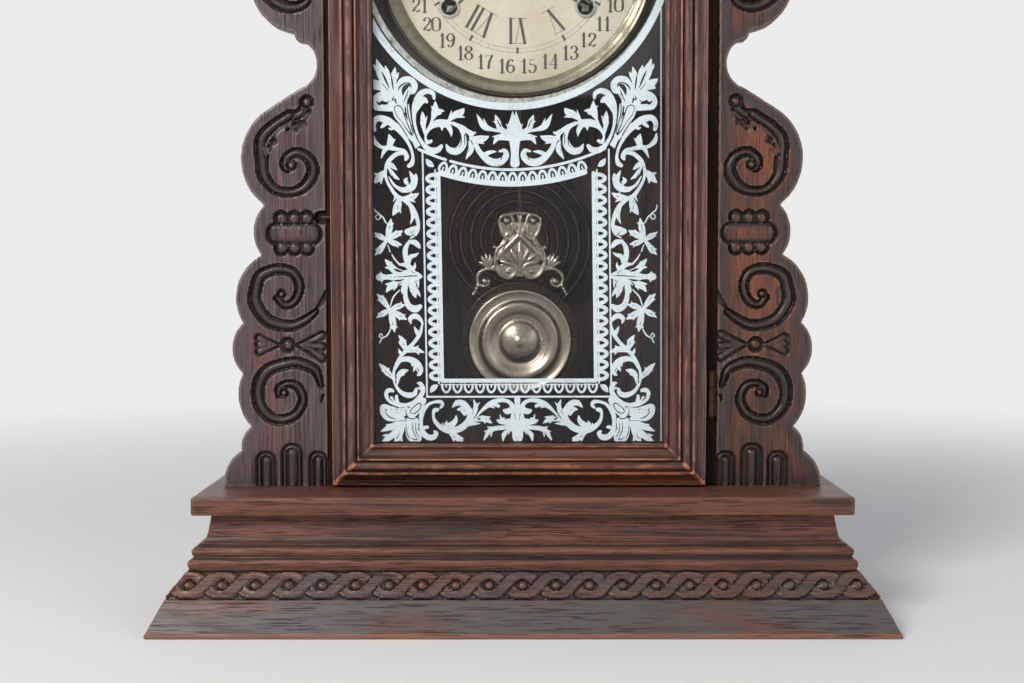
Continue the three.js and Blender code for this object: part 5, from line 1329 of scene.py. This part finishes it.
def dial_holes():
    """The holes of the CAD dial pan, as centre and radius."""
    holes = []
    for loop in face_loops("dial_pan", DIAL_FRONT):
        size = loop.max(0) - loop.min(0)
        if size.max() < 40:
            holes.append((*(loop.max(0) + loop.min(0)) / 2, size.max() / 2))
    return holes


# ---------------------------------------------------------------- door glass and its print

# The print's drawing is this many millimetres a unit. It was laid on by hand and leans a little to the right.
PRINT_SCALE, LEAN, LEAN_LEFT = .5355, .0131, .004
ROUND_CENTRE = (-5.5, 355.3)


def on_glass(px, py):
    """A place on the glass from a place in the print's own drawing."""
    return (-5.4 + PRINT_SCALE * (px - 512), 146.4 - PRINT_SCALE * (py - 341.5))


def glass_print():
    x0, x1, z0, z1 = edges = -79.3, 75.8, 91.9, 442.0
    white, silver = Sheet(*edges, .30), Sheet(*edges, .34)
    white.stroke(arc(*ROUND_CENTRE, 83.85, 0, 360, 200), 1.85)
    silver.stroke(arc(ROUND_CENTRE[0] + 2.0, ROUND_CENTRE[1] + .6, 81.6, 0, 360, 200), 1.5)
    frame_lines(white)
    ornament(white)
    for name, sheet, gap, finish in (("glass_print_white", white, .08, WHITE),
                                     ("glass_print_silver", silver, .14, SILVER)):
        inside = (sheet.x[:, None] > x0 + .3) & (sheet.x[:, None] < x1 - .3)
        if sheet is white:
            inside = inside & (sheet.z[None, :] > z0 + .3) & (sheet.z[None, :] < z1 - .3)
        sheet.field = np.where(inside, sheet.field, -3)
        flat_piece(name, sheet, GLASS_Y + gap, "door", finish)


# The print is drawn on three sheets of the left half, then again turned over for the right half.
# Each stroke is a row of places, as x,y,half-width, in that sheet's own units.
TOP_SHEET, SIDE_SHEET, FOOT_SHEET = (370, 50, 7.467), (370, 180, 7.127), (370, 380, 10.453)
MIDDLE_LINE = 516.2

TOP_STROKES = [
    # leaf fan in the corner
    [184,366,8, 150,285,30, 104,190,40, 84,135,24, 68,84,4], [150,260,14, 148,190,20, 132,132,5],
    [100,190,20, 62,150,14, 48,122,4],
    [180,366,8, 118,296,32, 64,262,30, 26,236,8], [120,300,18, 66,292,18, 40,300,5],
    [196,370,8, 188,285,22, 192,215,28, 206,142,4],
    [196,250,16, 218,208,14, 231,180,4],
    # two volutes and the stem between them
    [190,420,24, 152,372,34, 98,356,38, 58,388,34, 66,428,32, 112,440,26, 170,440,30],
    [255,470,22, 236,380,30, 228,300,28, 262,246,32, 312,240,32, 344,272,30, 340,318,20, 318,334,8],
    [262,420,22, 286,350,24, 318,300,22],
    [205,440,34, 245,520,44, 292,610,34, 334,676,20], [292,420,16, 304,500,14, 320,590,12, 340,650,12],
    # leaf that rolls over on the left and runs down
    [46,602,16, 40,560,22, 70,520,26, 140,532,30, 206,580,26, 266,650,17, 312,730,13, 330,800,13, 322,850,20,
     300,868,17],
    [140,540,22, 112,566,20, 96,584,8], [196,580,14, 172,596,12, 152,590,6],
    # the open scroll on the right
    [492,372,12, 484,336,18, 440,318,22, 388,344,26, 352,420,26, 342,520,15, 362,620,12, 404,704,17, 458,752,25,
     512,752,24, 542,724,16],
    [356,470,10, 382,412,24, 412,382,26, 436,396,14],
    # sprigs
    [426,650,8, 412,580,18, 408,520,22, 404,468,4], [418,560,14, 440,500,4], [404,575,12, 388,548,4],
    [432,628,7, 476,530,12, 498,468,30, 500,392,5], [490,470,16, 532,462,16, 568,466,4], [490,450,14, 468,428,4],
    [496,490,18, 540,482,8],
    [466,686,14, 438,694,16, 426,648,10, 456,590,18, 512,556,30, 572,556,32, 604,548,18], [548,570,18, 548,606,6],
    [590,566,24, 612,610,18, 618,652,4],
    [600,530,12, 650,492,28, 690,474,26, 712,446,5], [660,500,18, 716,510,5], [604,520,12, 622,458,4],
    [614,552,10, 676,584,17, 706,650,22, 700,716,30, 656,760,30, 604,752,24, 578,712,7],
    [632,548,8, 722,596,14, 778,672,17, 826,766,22, 900,834,30, 972,842,30, 1022,800,25, 1012,758,18, 974,762,9],
    [760,668,14, 826,672,30, 868,664,20, 896,650,4], [770,640,14, 800,618,4], [812,690,16, 862,706,4],
    [752,690,10, 762,748,24, 726,816,6], [700,588,12, 752,622,20, 800,630,4], [852,790,18, 906,768,16, 950,764,5],
    [722,670,7, 726,720,4],
    # palmette over the middle
    [1084,852,34, 1082,780,26, 1086,700,40, 1082,610,58, 1074,540,26, 1074,470,4], [1050,600,14, 1026,560,4],
    [1050,640,26, 984,600,24, 962,540,22, 944,494,4], [964,560,14, 930,540,4],
    [1030,620,12, 930,604,14, 858,574,26, 808,492,5], [880,580,14, 858,520,4], [1046,664,22, 966,660,24, 930,708,5],
    [970,650,14, 920,655,4],
    # scrolls down the side
    [34,636,8, 48,690,20, 100,730,14, 160,734,20, 214,746,16], [150,728,16, 166,686,28, 154,636,5],
    [172,700,16, 202,668,4], [130,740,20, 110,770,14, 94,812,4],
    [212,742,12, 262,760,18, 284,800,20, 276,822,12], [268,772,14, 204,784,18, 146,840,18, 126,910,14, 132,970,12,
                                                       166,1036,14, 206,1090,18, 242,1110,18],
    [150,850,14, 176,868,20, 212,900,4], [150,880,10, 186,938,18, 228,970,5], [128,906,12, 84,944,30, 58,976,20,
            34,994,5], [80,940,18, 38,922,5], [90,960,18, 92,1000,5],
    [150,950,6, 196,1018,14, 256,1046,22, 318,1026,30, 342,970,26, 352,928,6], [330,960,22, 304,908,5],
    [300,1010,16, 272,980,16, 290,956,4],
    [246,1112,14, 306,1104,28, 340,1090,20, 370,1072,5], [310,1095,14, 314,1064,4], [300,1115,16, 344,1136,5],
    [226,1108,16, 212,1168,32, 196,1200,24, 176,1232,6], [222,1180,16, 236,1218,4], [200,1096,12, 180,1132,4],
    [240,1112,10, 304,1156,18, 346,1226,18, 366,1310,15, 350,1372,12, 306,1404,7],
    [306,1164,12, 326,1236,17, 306,1300,4], [358,1322,14, 316,1352,34, 284,1356,24, 268,1350,6],
    [34,1158,5, 44,1198,7, 74,1222,6, 84,1250,6, 62,1266,6, 48,1246,6, 66,1228,5, 100,1246,7, 122,1286,7],
]
TOP_CUTS = [
    [106,176,5, 132,232,8, 160,296,4], [176,202,4, 182,250,7, 190,306,4], [108,262,4, 152,312,4],
    [196,352,3, 182,380,6, 196,384,3],
    [68,396,6, 86,414,8, 108,400,6, 104,380,3], [132,404,5, 160,390,4], [84,350,3, 110,344,3],
    [222,318,3, 242,282,7, 282,258,5, 316,268,5, 322,292,4], [266,398,4, 286,348,5, 300,314,4], [284,384,3, 300,344,4],
    [300,252,3, 326,262,3],
    [50,470,3, 110,476,5, 170,494,5, 232,560,5, 288,646,5], [196,440,4, 222,424,5, 250,440,5, 272,500,5, 298,572,5,
                                                             326,640,6, 296,612,5, 254,548,4, 212,492,4, 196,440,4],
    [296,380,4, 296,470,5, 316,560,5, 336,634,4], [58,578,5, 74,552,10, 92,540,4], [110,546,4, 90,566,8, 76,586,5],
    [620,566,3, 668,600,5, 690,660,5, 682,720,4, 640,744,3], [716,640,5, 716,710,4], [640,500,3, 690,468,3],
    [800,672,3, 862,660,3], [748,700,3, 744,766,3],
    [972,780,4, 990,810,5, 972,830,3], [164,872,3, 168,920,3, 196,978,5, 250,1016,4],
    [140,862,3, 140,940,4, 172,1010,4, 226,1056,4], [298,946,3, 308,986,6, 286,1010,3],
    [210,1130,2, 214,1190,4], [290,1108,2, 340,1094,4], [960,530,4, 984,580,5], [1006,760,3, 1020,790,3],
]
IVY = [  # five-lobed leaf round its middle
    [0,0,12, 18,-80,27, 26,-120,20, 32,-160,5], [22,-104,16, 54,-130,4], [20,-110,12, -4,-130,4],
    [0,0,10, 62,-40,27, 92,-56,18, 118,-70,5], [70,-44,14, 112,-36,4], [60,-46,12, 70,-78,4],
    [0,0,10, 56,22,24, 84,28,16, 110,34,5], [66,24,12, 84,56,4],
    [0,0,10, -50,66,26, -66,86,18, -90,110,5], [-54,70,12, -48,104,4], [-52,62,12, -92,70,4],
    [0,0,10, -46,-26,24, -68,-40,16, -96,-58,5], [-56,-34,12, -90,-26,4]]
IVY_VEINS = [[8,-44,2, 22,-108,4], [30,-22,2, 84,-50,4], [26,12,2, 76,30,4], [-24,34,2, -62,82,4],
             [-22,-14,2, -64,-38,4]]
SIDE_STROKES = [
    [130,462,5, 146,510,6], [158,528,5, 176,560,7, 208,596,8],
    [286,432,10, 256,490,20, 258,560,20, 278,618,14], [286,440,14, 322,444,22, 346,466,18, 360,486,5],
    [280,590,12, 290,548,18, 322,536,14, 348,520,5],
    # acanthus that points outwards
    [368,686,10, 330,684,34, 280,690,56, 220,690,44, 160,690,26, 110,690,20, 72,690,30, 54,694,8],
    [90,690,14, 76,654,5], [90,690,14, 84,728,5],
    [226,666,26, 170,636,28, 140,600,22, 112,566,6], [160,630,16, 112,622,6], [150,606,12, 156,580,4],
    [208,600,7, 262,606,20, 300,640,24], [300,640,20, 320,616,12, 322,586,4],
    [230,716,26, 174,742,28, 140,764,22, 116,796,6], [160,736,16, 112,742,6], [190,750,14, 168,784,4],
    [270,720,30, 240,776,22, 228,806,5], [300,720,28, 310,790,26, 326,836,6],
    [310,760,20, 342,800,14, 358,830,4], [336,700,18, 344,750,8, 342,768,4], [256,760,14, 252,830,19, 276,896,24,
            322,918,28, 356,900,18],
    [210,784,6, 166,832,7, 144,896,6], [150,1050,6, 118,1106,7, 82,1128,6, 64,1160,6],
    [82,1128,5, 60,1112,6, 74,1094,6, 86,1112,5],
    [290,1022,6, 284,988,18, 320,968,22, 356,992,16, 374,1024,8], [372,1020,8, 352,1096,15, 304,1164,15, 246,1220,16,
            194,1286,12, 164,1366,12, 168,1440,12, 204,1506,15, 262,1536,22, 308,1526,20, 322,1494,13],
    [344,1110,14, 330,1080,16, 312,1044,4], [250,1212,14, 232,1164,26, 222,1134,18, 202,1108,5],
    [236,1160,14, 254,1140,4], [220,1170,14, 198,1152,4],
    [256,1220,12, 314,1208,24, 350,1218,16, 382,1230,4], [320,1204,14, 342,1180,4], [330,1222,12, 344,1246,4],
    [210,1230,14, 200,1204,5],
    [178,1344,8, 208,1290,16, 262,1276,22, 318,1300,28, 348,1346,28, 348,1384,14, 330,1392,6],
    [320,1330,18, 304,1364,5], [300,1310,14, 292,1330,4],
    [186,1452,10, 196,1400,20, 226,1368,22, 266,1356,5], [216,1390,12, 240,1390,4],
    [166,1420,12, 112,1366,24, 86,1336,18, 58,1310,5], [104,1356,14, 72,1362,4], [116,1360,14, 132,1338,4],
    [130,1376,14, 104,1392,4],
]
SIDE_CUTS = [
    [372,684,2, 300,682,5, 220,688,4, 110,692,2], [176,634,6, 204,646,9, 236,652,3], [190,602,4, 200,622,7, 226,634,3],
    [172,716,4, 206,716,8, 244,706,3],
    [196,764,4, 206,742,6, 226,726,3], [270,736,3, 276,784,5, 300,812,3], [282,640,3, 320,664,4],
    [310,726,3, 338,716,4],
    [290,480,3, 310,470,4], [276,340,2, 312,392,4, 330,398,2], [304,990,3, 334,1000,3], [228,1140,3, 240,1176,4],
    [290,1216,3, 344,1222,3],
    [190,1370,3, 230,1310,4, 284,1302,3], [330,1340,4, 344,1366,4], [92,1350,3, 140,1396,4], [180,1400,4, 176,1450,5],
]
FOOT_STROKES = [
    [484,34,8, 520,44,24, 546,100,26, 520,166,28, 448,238,26, 356,268,24, 262,252,30, 188,208,30, 158,150,26,
     180,112,26, 218,112,22, 236,128,6],
    [272,226,22, 262,178,18, 270,170,14], [212,190,18, 236,240,12], [496,84,12, 520,100,14],
    # ring with its oval, and the three forms it holds
    [418,352,60, 476,296,62, 520,244,50, 548,218,34],
    [356,330,50, 276,348,66, 200,338,66, 142,300,48, 124,300,40, 130,350,40, 172,400,34, 250,420,26, 340,414,20],
    [404,430,44, 404,510,54, 424,590,62, 462,626,56, 488,618,40], [460,430,38, 468,520,36, 494,600,34],
    [352,432,8, 262,470,32, 182,506,34, 96,544,6], [220,480,24, 150,474,6], [346,440,8, 260,540,38, 190,600,40,
            128,650,22, 110,664,6], [210,570,24, 118,590,8],
    [354,450,8, 312,540,30, 280,600,36, 252,660,22], [300,590,22, 316,650,12],
    [724,296,14, 748,268,20, 730,236,24, 676,232,18, 606,256,18, 550,316,26, 520,396,27, 516,480,28, 540,560,32,
     592,606,34, 646,606,34, 678,566,26, 656,542,10], [540,510,18, 580,500,20, 602,504,6],
    # the next scroll, its leaves and the one that meets the middle
    [690,316,24, 664,322,24, 650,366,16, 668,438,22, 728,500,30, 806,532,38, 900,526,38, 978,480,40, 1022,400,30,
     1012,306,36, 956,248,36, 898,248,30, 850,292,6],
    [980,360,22, 948,312,28, 904,316,8], [900,240,20, 886,218,6], [770,480,16, 840,474,34, 882,430,26, 890,374,5],
    [780,470,20, 792,434,5], [740,480,12, 750,456,5],
    [812,550,18, 866,588,34, 920,630,34, 968,676,10], [850,590,22, 868,664,6], [900,620,24, 912,672,8],
    [920,610,22, 966,622,5],
    [1040,420,16, 1082,340,30, 1096,276,24, 1074,208,5], [1096,290,18, 1140,238,5], [1060,350,14, 1048,300,5],
    [1050,430,20, 1100,420,24, 1176,410,34, 1226,432,24, 1266,460,5], [1180,396,18, 1166,376,5],
    [1200,400,20, 1252,392,5], [1180,430,16, 1196,462,5], [1010,470,24, 1080,464,18, 1142,462,5],
    [1096,400,10, 1166,320,18, 1246,256,30, 1334,220,26, 1420,222,22, 1474,262,26, 1478,310,34, 1430,334,34,
     1394,324,16], [1276,262,20, 1336,276,18, 1332,296,5], [1250,280,14, 1296,300,5], [1470,260,12, 1500,300,5],
    # palmette under the middle
    [1530,214,32, 1540,300,30, 1546,400,66, 1546,520,52, 1556,600,40, 1560,652,12],
    [1490,440,40, 1410,446,34, 1352,440,26, 1318,424,6], [1370,440,20, 1352,364,5], [1380,420,20, 1400,400,5],
    [1520,450,30, 1420,500,24, 1300,514,28, 1236,548,30, 1180,636,8], [1270,510,16, 1216,498,6],
    [1260,530,22, 1256,604,5], [1240,540,18, 1182,546,5],
    [1520,480,24, 1440,540,26, 1394,580,26, 1380,650,6], [1420,550,16, 1366,580,5], [1470,520,18, 1436,580,4],
    [1520,520,20, 1490,546,6],
]
FOOT_CUTS = [
    [362,296,3, 362,350,6, 388,398,7, 440,412,6, 492,396,4], [430,358,5, 410,330,6, 440,290,6, 494,250,7, 522,262,7,
                                                              504,312,6, 462,350,7, 430,358,5],
    [380,282,4, 290,296,5, 200,270,4], [330,324,3, 270,316,4, 200,308,4], [334,350,3, 260,350,4, 206,346,3],
    [160,316,5, 150,350,6, 196,396,7, 250,412,5], [140,300,4, 160,322,6],
    [346,430,5, 240,436,4, 160,448,3], [362,452,3, 372,560,6, 396,620,5], [432,436,4, 434,530,6, 470,612,5],
    [460,440,4, 466,540,6, 500,606,5], [400,612,3, 460,632,7, 484,618,4],
    [270,500,3, 160,580,6], [322,520,3, 260,620,6], [208,500,2, 150,526,3], [500,400,4, 496,500,5, 520,590,3],
    [540,300,3, 560,260,4, 600,236,3],
    [820,558,3, 880,612,5], [930,480,3, 996,400,5, 996,330,3], [1044,400,3, 1076,320,5],
    [1110,400,6, 1140,416,8, 1120,424,4], [1140,400,3, 1230,428,4], [950,296,3, 980,330,5],
    [700,250,2, 740,262,4], [640,580,4, 652,562,5], [1410,250,4, 1440,272,7, 1420,300,6], [1500,460,3, 1330,520,4],
    [1500,500,3, 1420,580,5], [1290,530,3, 1230,590,5],
    [178,140,5, 190,190,7, 230,230,4], [500,470,6, 486,540,4], [1516,420,5, 1500,330,4],
]


def lay_strokes(s, rows, sheet, cut=False, at=(0, 0), flip=1):
    """Draws or cuts strokes on both halves. at moves them in the sheet's units, and flip -1 turns them upside down."""
    ox, oy, scale = sheet
    for row in rows:
        for half in (1, -1):
            pts, widths = [], []
            for x, y, w in np.reshape(row, (-1, 3)):
                px, py = ox + (x + at[0]) / scale, oy + (y * flip + at[1]) / scale
                if half < 0:
                    px = 2 * MIDDLE_LINE - px
                px += (LEAN if half < 0 else LEAN_LEFT) * (py - 275)
                pts.append(on_glass(px, py))
                widths.append((w - 1.2) / scale * PRINT_SCALE * (.93 if not cut else 1.1))
            s.stroke(pts, widths, cut=cut)


def frame_lines(s):
    """The border round the clear window with its row of loops, and the thin line near the wood."""
    lean = lambda x, z: (x - LEAN * (z - 182), z)
    left, right, foot, shoulder = -52.0, 47.2, 116.6, 248.6
    cx, cz = ROUND_CENTRE
    for line, w in (([(left, shoulder), (left, foot)], .46), ([(right, shoulder), (right, foot)], .46),
                    ([(left, foot), (right, foot)], .52)):
        s.stroke([lean(x, z) for x, z in line], w)
    for r, a0, a1, n, w in ((117.2, 245.0, 252.6, 30, .72), (117.2, 253.9, 295.2, 90, .72),
                            (124.7, 252.4, 288.2, 90, 1.45)):
        s.stroke(arc(cx, cz, r, a0, a1, n), w)
    for x, out in ((-43.75, -1), (38.95, 1)):
        s.stroke([lean(x, 236.2), lean(x, 125.4)], 1.02)
        s.stroke([lean(x + out * 1.75, 238.0), lean(x + out * 1.75, 123.9)], .42)
    s.stroke([lean(-43.7, 125.3), lean(38.9, 125.3)], 1.08)
    s.stroke([lean(-44.8, 123.2), lean(40.0, 123.2)], .3)

    def loop(x, z, out, width, deep, thick, core):
        """A round-headed loop that stands out from (x, z), with a short line core long inside it."""
        p, o = np.array([x, z]), np.array(out, float)
        t = np.array([-o[1], o[0]])
        s.stroke([p + t * width * a + o * deep * b for a, b in ((-1, 0), (-.96, .45), (-.5, .88), (0, 1), (.5, .88),
                                                                (.96, .45),
                                                                (1, 0))], thick)
        if core:
            s.stroke([p + o * .2, p + o * core], .42)

    for k in range(19):
        z = 128.0 + 5.86 * k
        loop(*lean(-45.6, z), (-1, 0), 1.95, 4.2, 1.0, 0)
        loop(*lean(40.8, z), (1, 0), 1.95, 4.2, 1.0, 0)
    for k in range(14):
        loop(*lean(-41.6 + 6.07 * k, 123.2), (0, -1), 2.1, 4.2, .6, 1.3)
    for k in range(15):
        a = math.radians(252.6 + 2.527 * k)
        loop(cx + 123.0 * math.cos(a), cz + 123.0 * math.sin(a), (-math.cos(a), -math.sin(a)), 1.95, 4.0, .68, 1.5)
    for x, side in ((left, 1), (right, -1)):
        for z, way in ((119.2, 1), (243.6, -1)):
            corner = lambda u, v: lean(x + side * u, z + way * v)
            s.stroke([corner(2.0, 0), corner(3.6, 2.2), corner(5.6, 3.6)], [.4, 1.5, .4])
            s.stroke([corner(2.2, .4), corner(5.0, 3.0)], .16, cut=True)
    s.stroke([(74.9, 92.5), (73.2, 441)], .28)


def ornament(s):
    top_leaf, side_leaf = dict(at=(130, 1420)), dict(at=(140, 922), flip=-1)
    parts = ((TOP_STROKES, TOP_CUTS, TOP_SHEET, {}), (SIDE_STROKES, SIDE_CUTS, SIDE_SHEET, {}),
             (FOOT_STROKES, FOOT_CUTS, FOOT_SHEET, {}), (IVY, IVY_VEINS, TOP_SHEET, top_leaf),
             (IVY, IVY_VEINS, SIDE_SHEET, side_leaf))
    for strokes, _, sheet, move in parts:
        lay_strokes(s, strokes, sheet, **move)
    for _, cuts, sheet, move in parts:
        lay_strokes(s, cuts, sheet, cut=True, **move)
    # cuff where the corner's stem meets the frame
    for half in (1, -1):
        quad = []
        for x, y in ((312, 664), (344, 648), (382, 716), (346, 742)):
            px, py = TOP_SHEET[0] + x / TOP_SHEET[2], TOP_SHEET[1] + y / TOP_SHEET[2]
            quad.append(on_glass(px if half > 0 else 2 * MIDDLE_LINE - px + LEAN * (py - 275), py))
        s.fill(quad)


def door_glass():
    lo, hi = (np.array(v) * 1000 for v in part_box("door_glass"))
    p, f, _ = slab(lo, hi, .25, 40)
    make("door_glass_pane", p, f, "door", ["door_glass"], GLASS, sharp=60)


# ---------------------------------------------------------------- pendulum, gong and hands

# Raised strokes of the pendulum's cast ornament, left half, as x,y,half-width in its own drawing.
CAST = [
    [512,184,11, 586,178,12, 660,184,11], [432,262,9, 440,216,12, 478,192,13, 520,200,13, 540,252,15, 556,310,16,
                                           572,350,15],
    [434,262,9, 452,326,12, 482,366,13, 470,402,13, 424,440,13, 402,510,14, 410,584,15, 452,642,15, 512,656,15,
     552,622,13, 540,592,10, 508,588,9],
    [596,200,10, 584,262,14, 578,330,20], [524,262,14, 530,300,16, 520,340,10],
    [570,352,22, 526,398,24, 486,438,22, 452,484,14], [500,330,14, 470,360,12],
    [585,606,16, 585,540,26, 585,470,28, 585,400,8], [580,566,9, 552,516,20, 530,470,20, 520,440,6],
    [578,580,9, 530,556,17, 480,544,18, 446,532,8], [560,540,8, 500,510,16, 466,486,10],
    [572,600,14, 540,570,14, 510,572,8], [372,566,12, 372,520,15, 364,488,6], [366,566,12, 344,516,15, 334,484,6],
    [358,570,12, 322,528,15, 304,500,6], [352,576,12, 312,552,14, 288,540,6],
    [404,600,10, 344,590,13, 288,618,14, 268,672,13, 296,716,12, 338,712,11, 356,684,9, 340,660,7],
    [410,560,14, 380,590,12],
    [276,712,20], [262,738,17], [251,760,14], [241,778,11], [400,430,16], [414,446,9, 440,430,9], [500,610,18],
    [486,236,28], [326,682,28], [574,350,22], [585,452,24], [420,520,10, 440,470,10, 470,440,8],
]


def cast_ornament():
    """The openwork casting in front of the rod: round strokes on a thin web, mirrored about the middle."""
    area = (-28.6, 26.6, 165.5, 217.8, .3)
    s, whole = Sheet(*area), Sheet(*area)
    height = np.zeros(s.field.shape)
    for row in CAST:
        for half in (1, -1):
            rows = [(-27.3 + .075 * ((cx if half > 0 else 1170 - cx) - 235), 216.2 - .0745 * (cy - 175), w * .075)
                    for cx, cy, w in np.reshape(row, (-1, 3))]
            for x, z, w in spline(rows, .3):
                found = s.block(x, z, w + .8)
                if found:
                    where, d = found
                    s.field[where] = np.maximum(s.field[where], w + .12 - d)
                    dome = np.sqrt(np.clip(1 - (d / w) ** 2, 0, 1)) * min(w * .95, 2.0)
                    height[where] = np.maximum(height[where], dome)
    # thin web that joins the strokes inside the lyre
    whole.fill([(-13.2, 211.0), (-9.4, 203.0), (-14.2, 196.0), (-15.4, 186.0), (-9.0, 180.6), (-1.1, 181.2),
                (6.8, 180.6),
                (13.2, 186.0), (12.0, 196.0), (7.2, 203.0), (11.0, 211.0)])
    for x, z, r in ((-8.4, 199.8, 1.6), (6.2, 199.8, 1.6), (-12.3, 189.0, 1.5), (10.1, 189.0, 1.5), (-1.1, 207.0, 1.3)):
        whole.stroke([(x, z)], r, cut=True)
    s.field = np.maximum(s.field, whole.field)
    height = np.maximum(height, np.where(s.field > 0, np.clip(s.field * 2, 0, .35), 0))
    pts, faces, rim = s.mesh()
    front = np.column_stack([pts[:, 0], 13.7 - bilinear(s, pts, height), pts[:, 1]])
    p, f = backed(front, faces, rim, 14.3)
    make("pendulum_ornament_cast", p, f, "pendulum", ["pendulum_ornament"], nickel, relief=5, sharp=60)


def bob():
    disc = [(.02, 6.6), (1.2, 6.68), (2.0, 6.95), (3.2, 7.5), (5.4, 8.1), (8.0, 9.0), (9.8, 10.0), (11.0, 11.0),
            (11.8, 11.55), (12.6, 11.7),
            (13.2, 11.45), (14.6, 11.0), (16.4, 9.9), (17.5, 9.35), (18.5, 9.0), (19.6, 8.85), (20.7, 9.2),
            (21.5, 9.9), (22.1, 10.9), (22.7, 11.7),
            (23.4, 12.1), (24.6, 12.15), (25.9, 11.8), (26.9, 11.25), (27.6, 11.0), (28.2, 11.3), (28.5, 12.2),
            (28.9, 12.8), (30.4, 13.0),
            (32.2, 13.1), (32.9, 13.4), (32.95, 14.0)]
    front = np.vstack([spline(disc, .4), [(32.8, 14.4), (28.0, 14.5), (.02, 14.5)]])
    p, f = lathe(front, BOB_CENTRE, 144)
    # two wire loops at its back that the rod passes through
    x0, z0 = BOB_CENTRE
    for z in (z0 + 4.0, z0 - 23.0):
        half = ((-3.3, 14.4), (-3.2, 16.6), (-1.8, 18.2))
        q, g = tube([(x0 + x, y, z) for x, y in (*half, *((-x, y) for x, y in half[::-1]))], .45, 8)
        f = f + [[v + len(p) for v in face] for face in g]
        p = np.vstack([p, q])
    make("pendulum_bob_spun", p, f, "pendulum", ["pendulum_bob"], bob_nickel, relief=8, sharp=55)


wing(-1)
wing(1)
crest()
base()
door_frame()
for node in ("front_stile_left", "front_stile_right", "front_top_rail"):
    board(node, "case", shade_oak)
for node in ("case_top_board", "back_board"):
    board(node, "case", inner_oak)
dial()
door_glass()
glass_print()
cast_ornament()
bob()


# ---------------------------------------------------------------- floor, light and camera

def studio():
    floor_mesh = bpy.data.meshes.new("floor")
    s = 6.0
    floor_mesh.from_pydata([(-s, -s, 0), (s, -s, 0), (s, s, 0), (-s, s, 0)], [], [(0, 1, 2, 3)])
    floor = bpy.data.objects.new("floor", floor_mesh)
    floor.location.z = -.0004
    bpy.context.scene.collection.objects.link(floor)
    m, t, shader = new_finish("Pale floor")
    feed(shader, {"Base Color": srgb(240, 239, 237), "Roughness": .85})
    # far from the object the floor fades into the pale background
    where = xyz(t, add(t, "TexCoord").outputs["Object"])
    path = add(t, "LightPath").outputs
    seen = maths(t, "MAXIMUM", maths(t, "MAXIMUM", path["Is Camera Ray"], path["Is Transmission Ray"]),
                 path["Is Glossy Ray"])
    far = add(t, "Emission", {"Color": srgb(236, 236, 236)})
    away = maths(t, "SQRT", plus(t, times(t, where[0], where[0]), times(t, where[1], where[1])))
    fade = times(t, seen, span(t, away, .3, 1.25))
    mix = add(t, "MixShader", {0: fade, 1: shader.outputs[0], 2: far.outputs[0]})
    feed(t.nodes["Material Output"], {0: mix.outputs[0]})
    floor_mesh.materials.append(m)
    world = bpy.data.worlds.new("Soft studio")
    bpy.context.scene.world = world
    world.use_nodes = True
    t = world.node_tree
    t.nodes.clear()
    out, room = add(t, "OutputWorld"), add(t, "Background")
    feed(out, {0: room.outputs[0]})
    path = add(t, "LightPath").outputs
    # the room is pale behind the object and dimmer behind the camera
    behind = span(t, xyz(t, add(t, "TexCoord").outputs["Generated"])[1], -.1, .25)
    seen = maths(t, "MAXIMUM", path["Is Camera Ray"], path["Is Transmission Ray"])
    seen = maths(t, "MAXIMUM", seen, times(t, path["Is Glossy Ray"], behind))
    feed(room, {0: blend(t, seen, srgb(205, 208, 214), srgb(236, 236, 236)), 1: plus(t, .56, times(t, seen, .44))})

    def lamp(name, place, aim, size, power, colour=(1, 1, 1)):
        data = bpy.data.lights.new(name, "AREA")
        data.shape, data.size, data.size_y = "RECTANGLE", size[0], size[1]
        data.energy, data.color = power, colour
        obj = bpy.data.objects.new(name, data)
        bpy.context.scene.collection.objects.link(obj)
        obj.location = place
        obj.rotation_euler = (Vector(aim) - Vector(place)).to_track_quat("-Z", "Y").to_euler()

    lamp("key, upper left", (-1.0, -1.35, 1.25), (0, 0, .2), (.7, .7), 30, (1.0, .985, .96))
    lamp("fill, right", (1.5, -1.3, .7), (0, 0, .2), (1.2, 1.2), 10, (.95, .97, 1.0))


def camera():
    data = bpy.data.cameras.new("camera")
    data.sensor_width, data.lens = 36.0, 1285.0 * 36 / 1024  # a focal length of 1285 in a frame 1024 wide
    data.clip_start, data.clip_end = .02, 50
    obj = bpy.data.objects.new("camera", data)
    bpy.context.scene.collection.objects.link(obj)
    yaw, pitch, roll = (math.radians(a) for a in (.28, 3.23, -.10))
    fwd = Vector((-math.sin(yaw) * math.cos(pitch), math.cos(yaw) * math.cos(pitch), -math.sin(pitch)))
    right = Vector((math.cos(yaw), math.sin(yaw), 0))
    up = right.cross(fwd)
    r, u = right * math.cos(roll) + up * math.sin(roll), up * math.cos(roll) - right * math.sin(roll)
    obj.matrix_world = Matrix(((r.x, u.x, -fwd.x, -.0020), (r.y, u.y, -fwd.y, -.6971), (r.z, u.z, -fwd.z, .18525),
                               (0, 0, 0, 1)))
    bpy.context.scene.camera = obj


studio()
camera()
bpy.context.scene.view_settings.view_transform = "Standard"
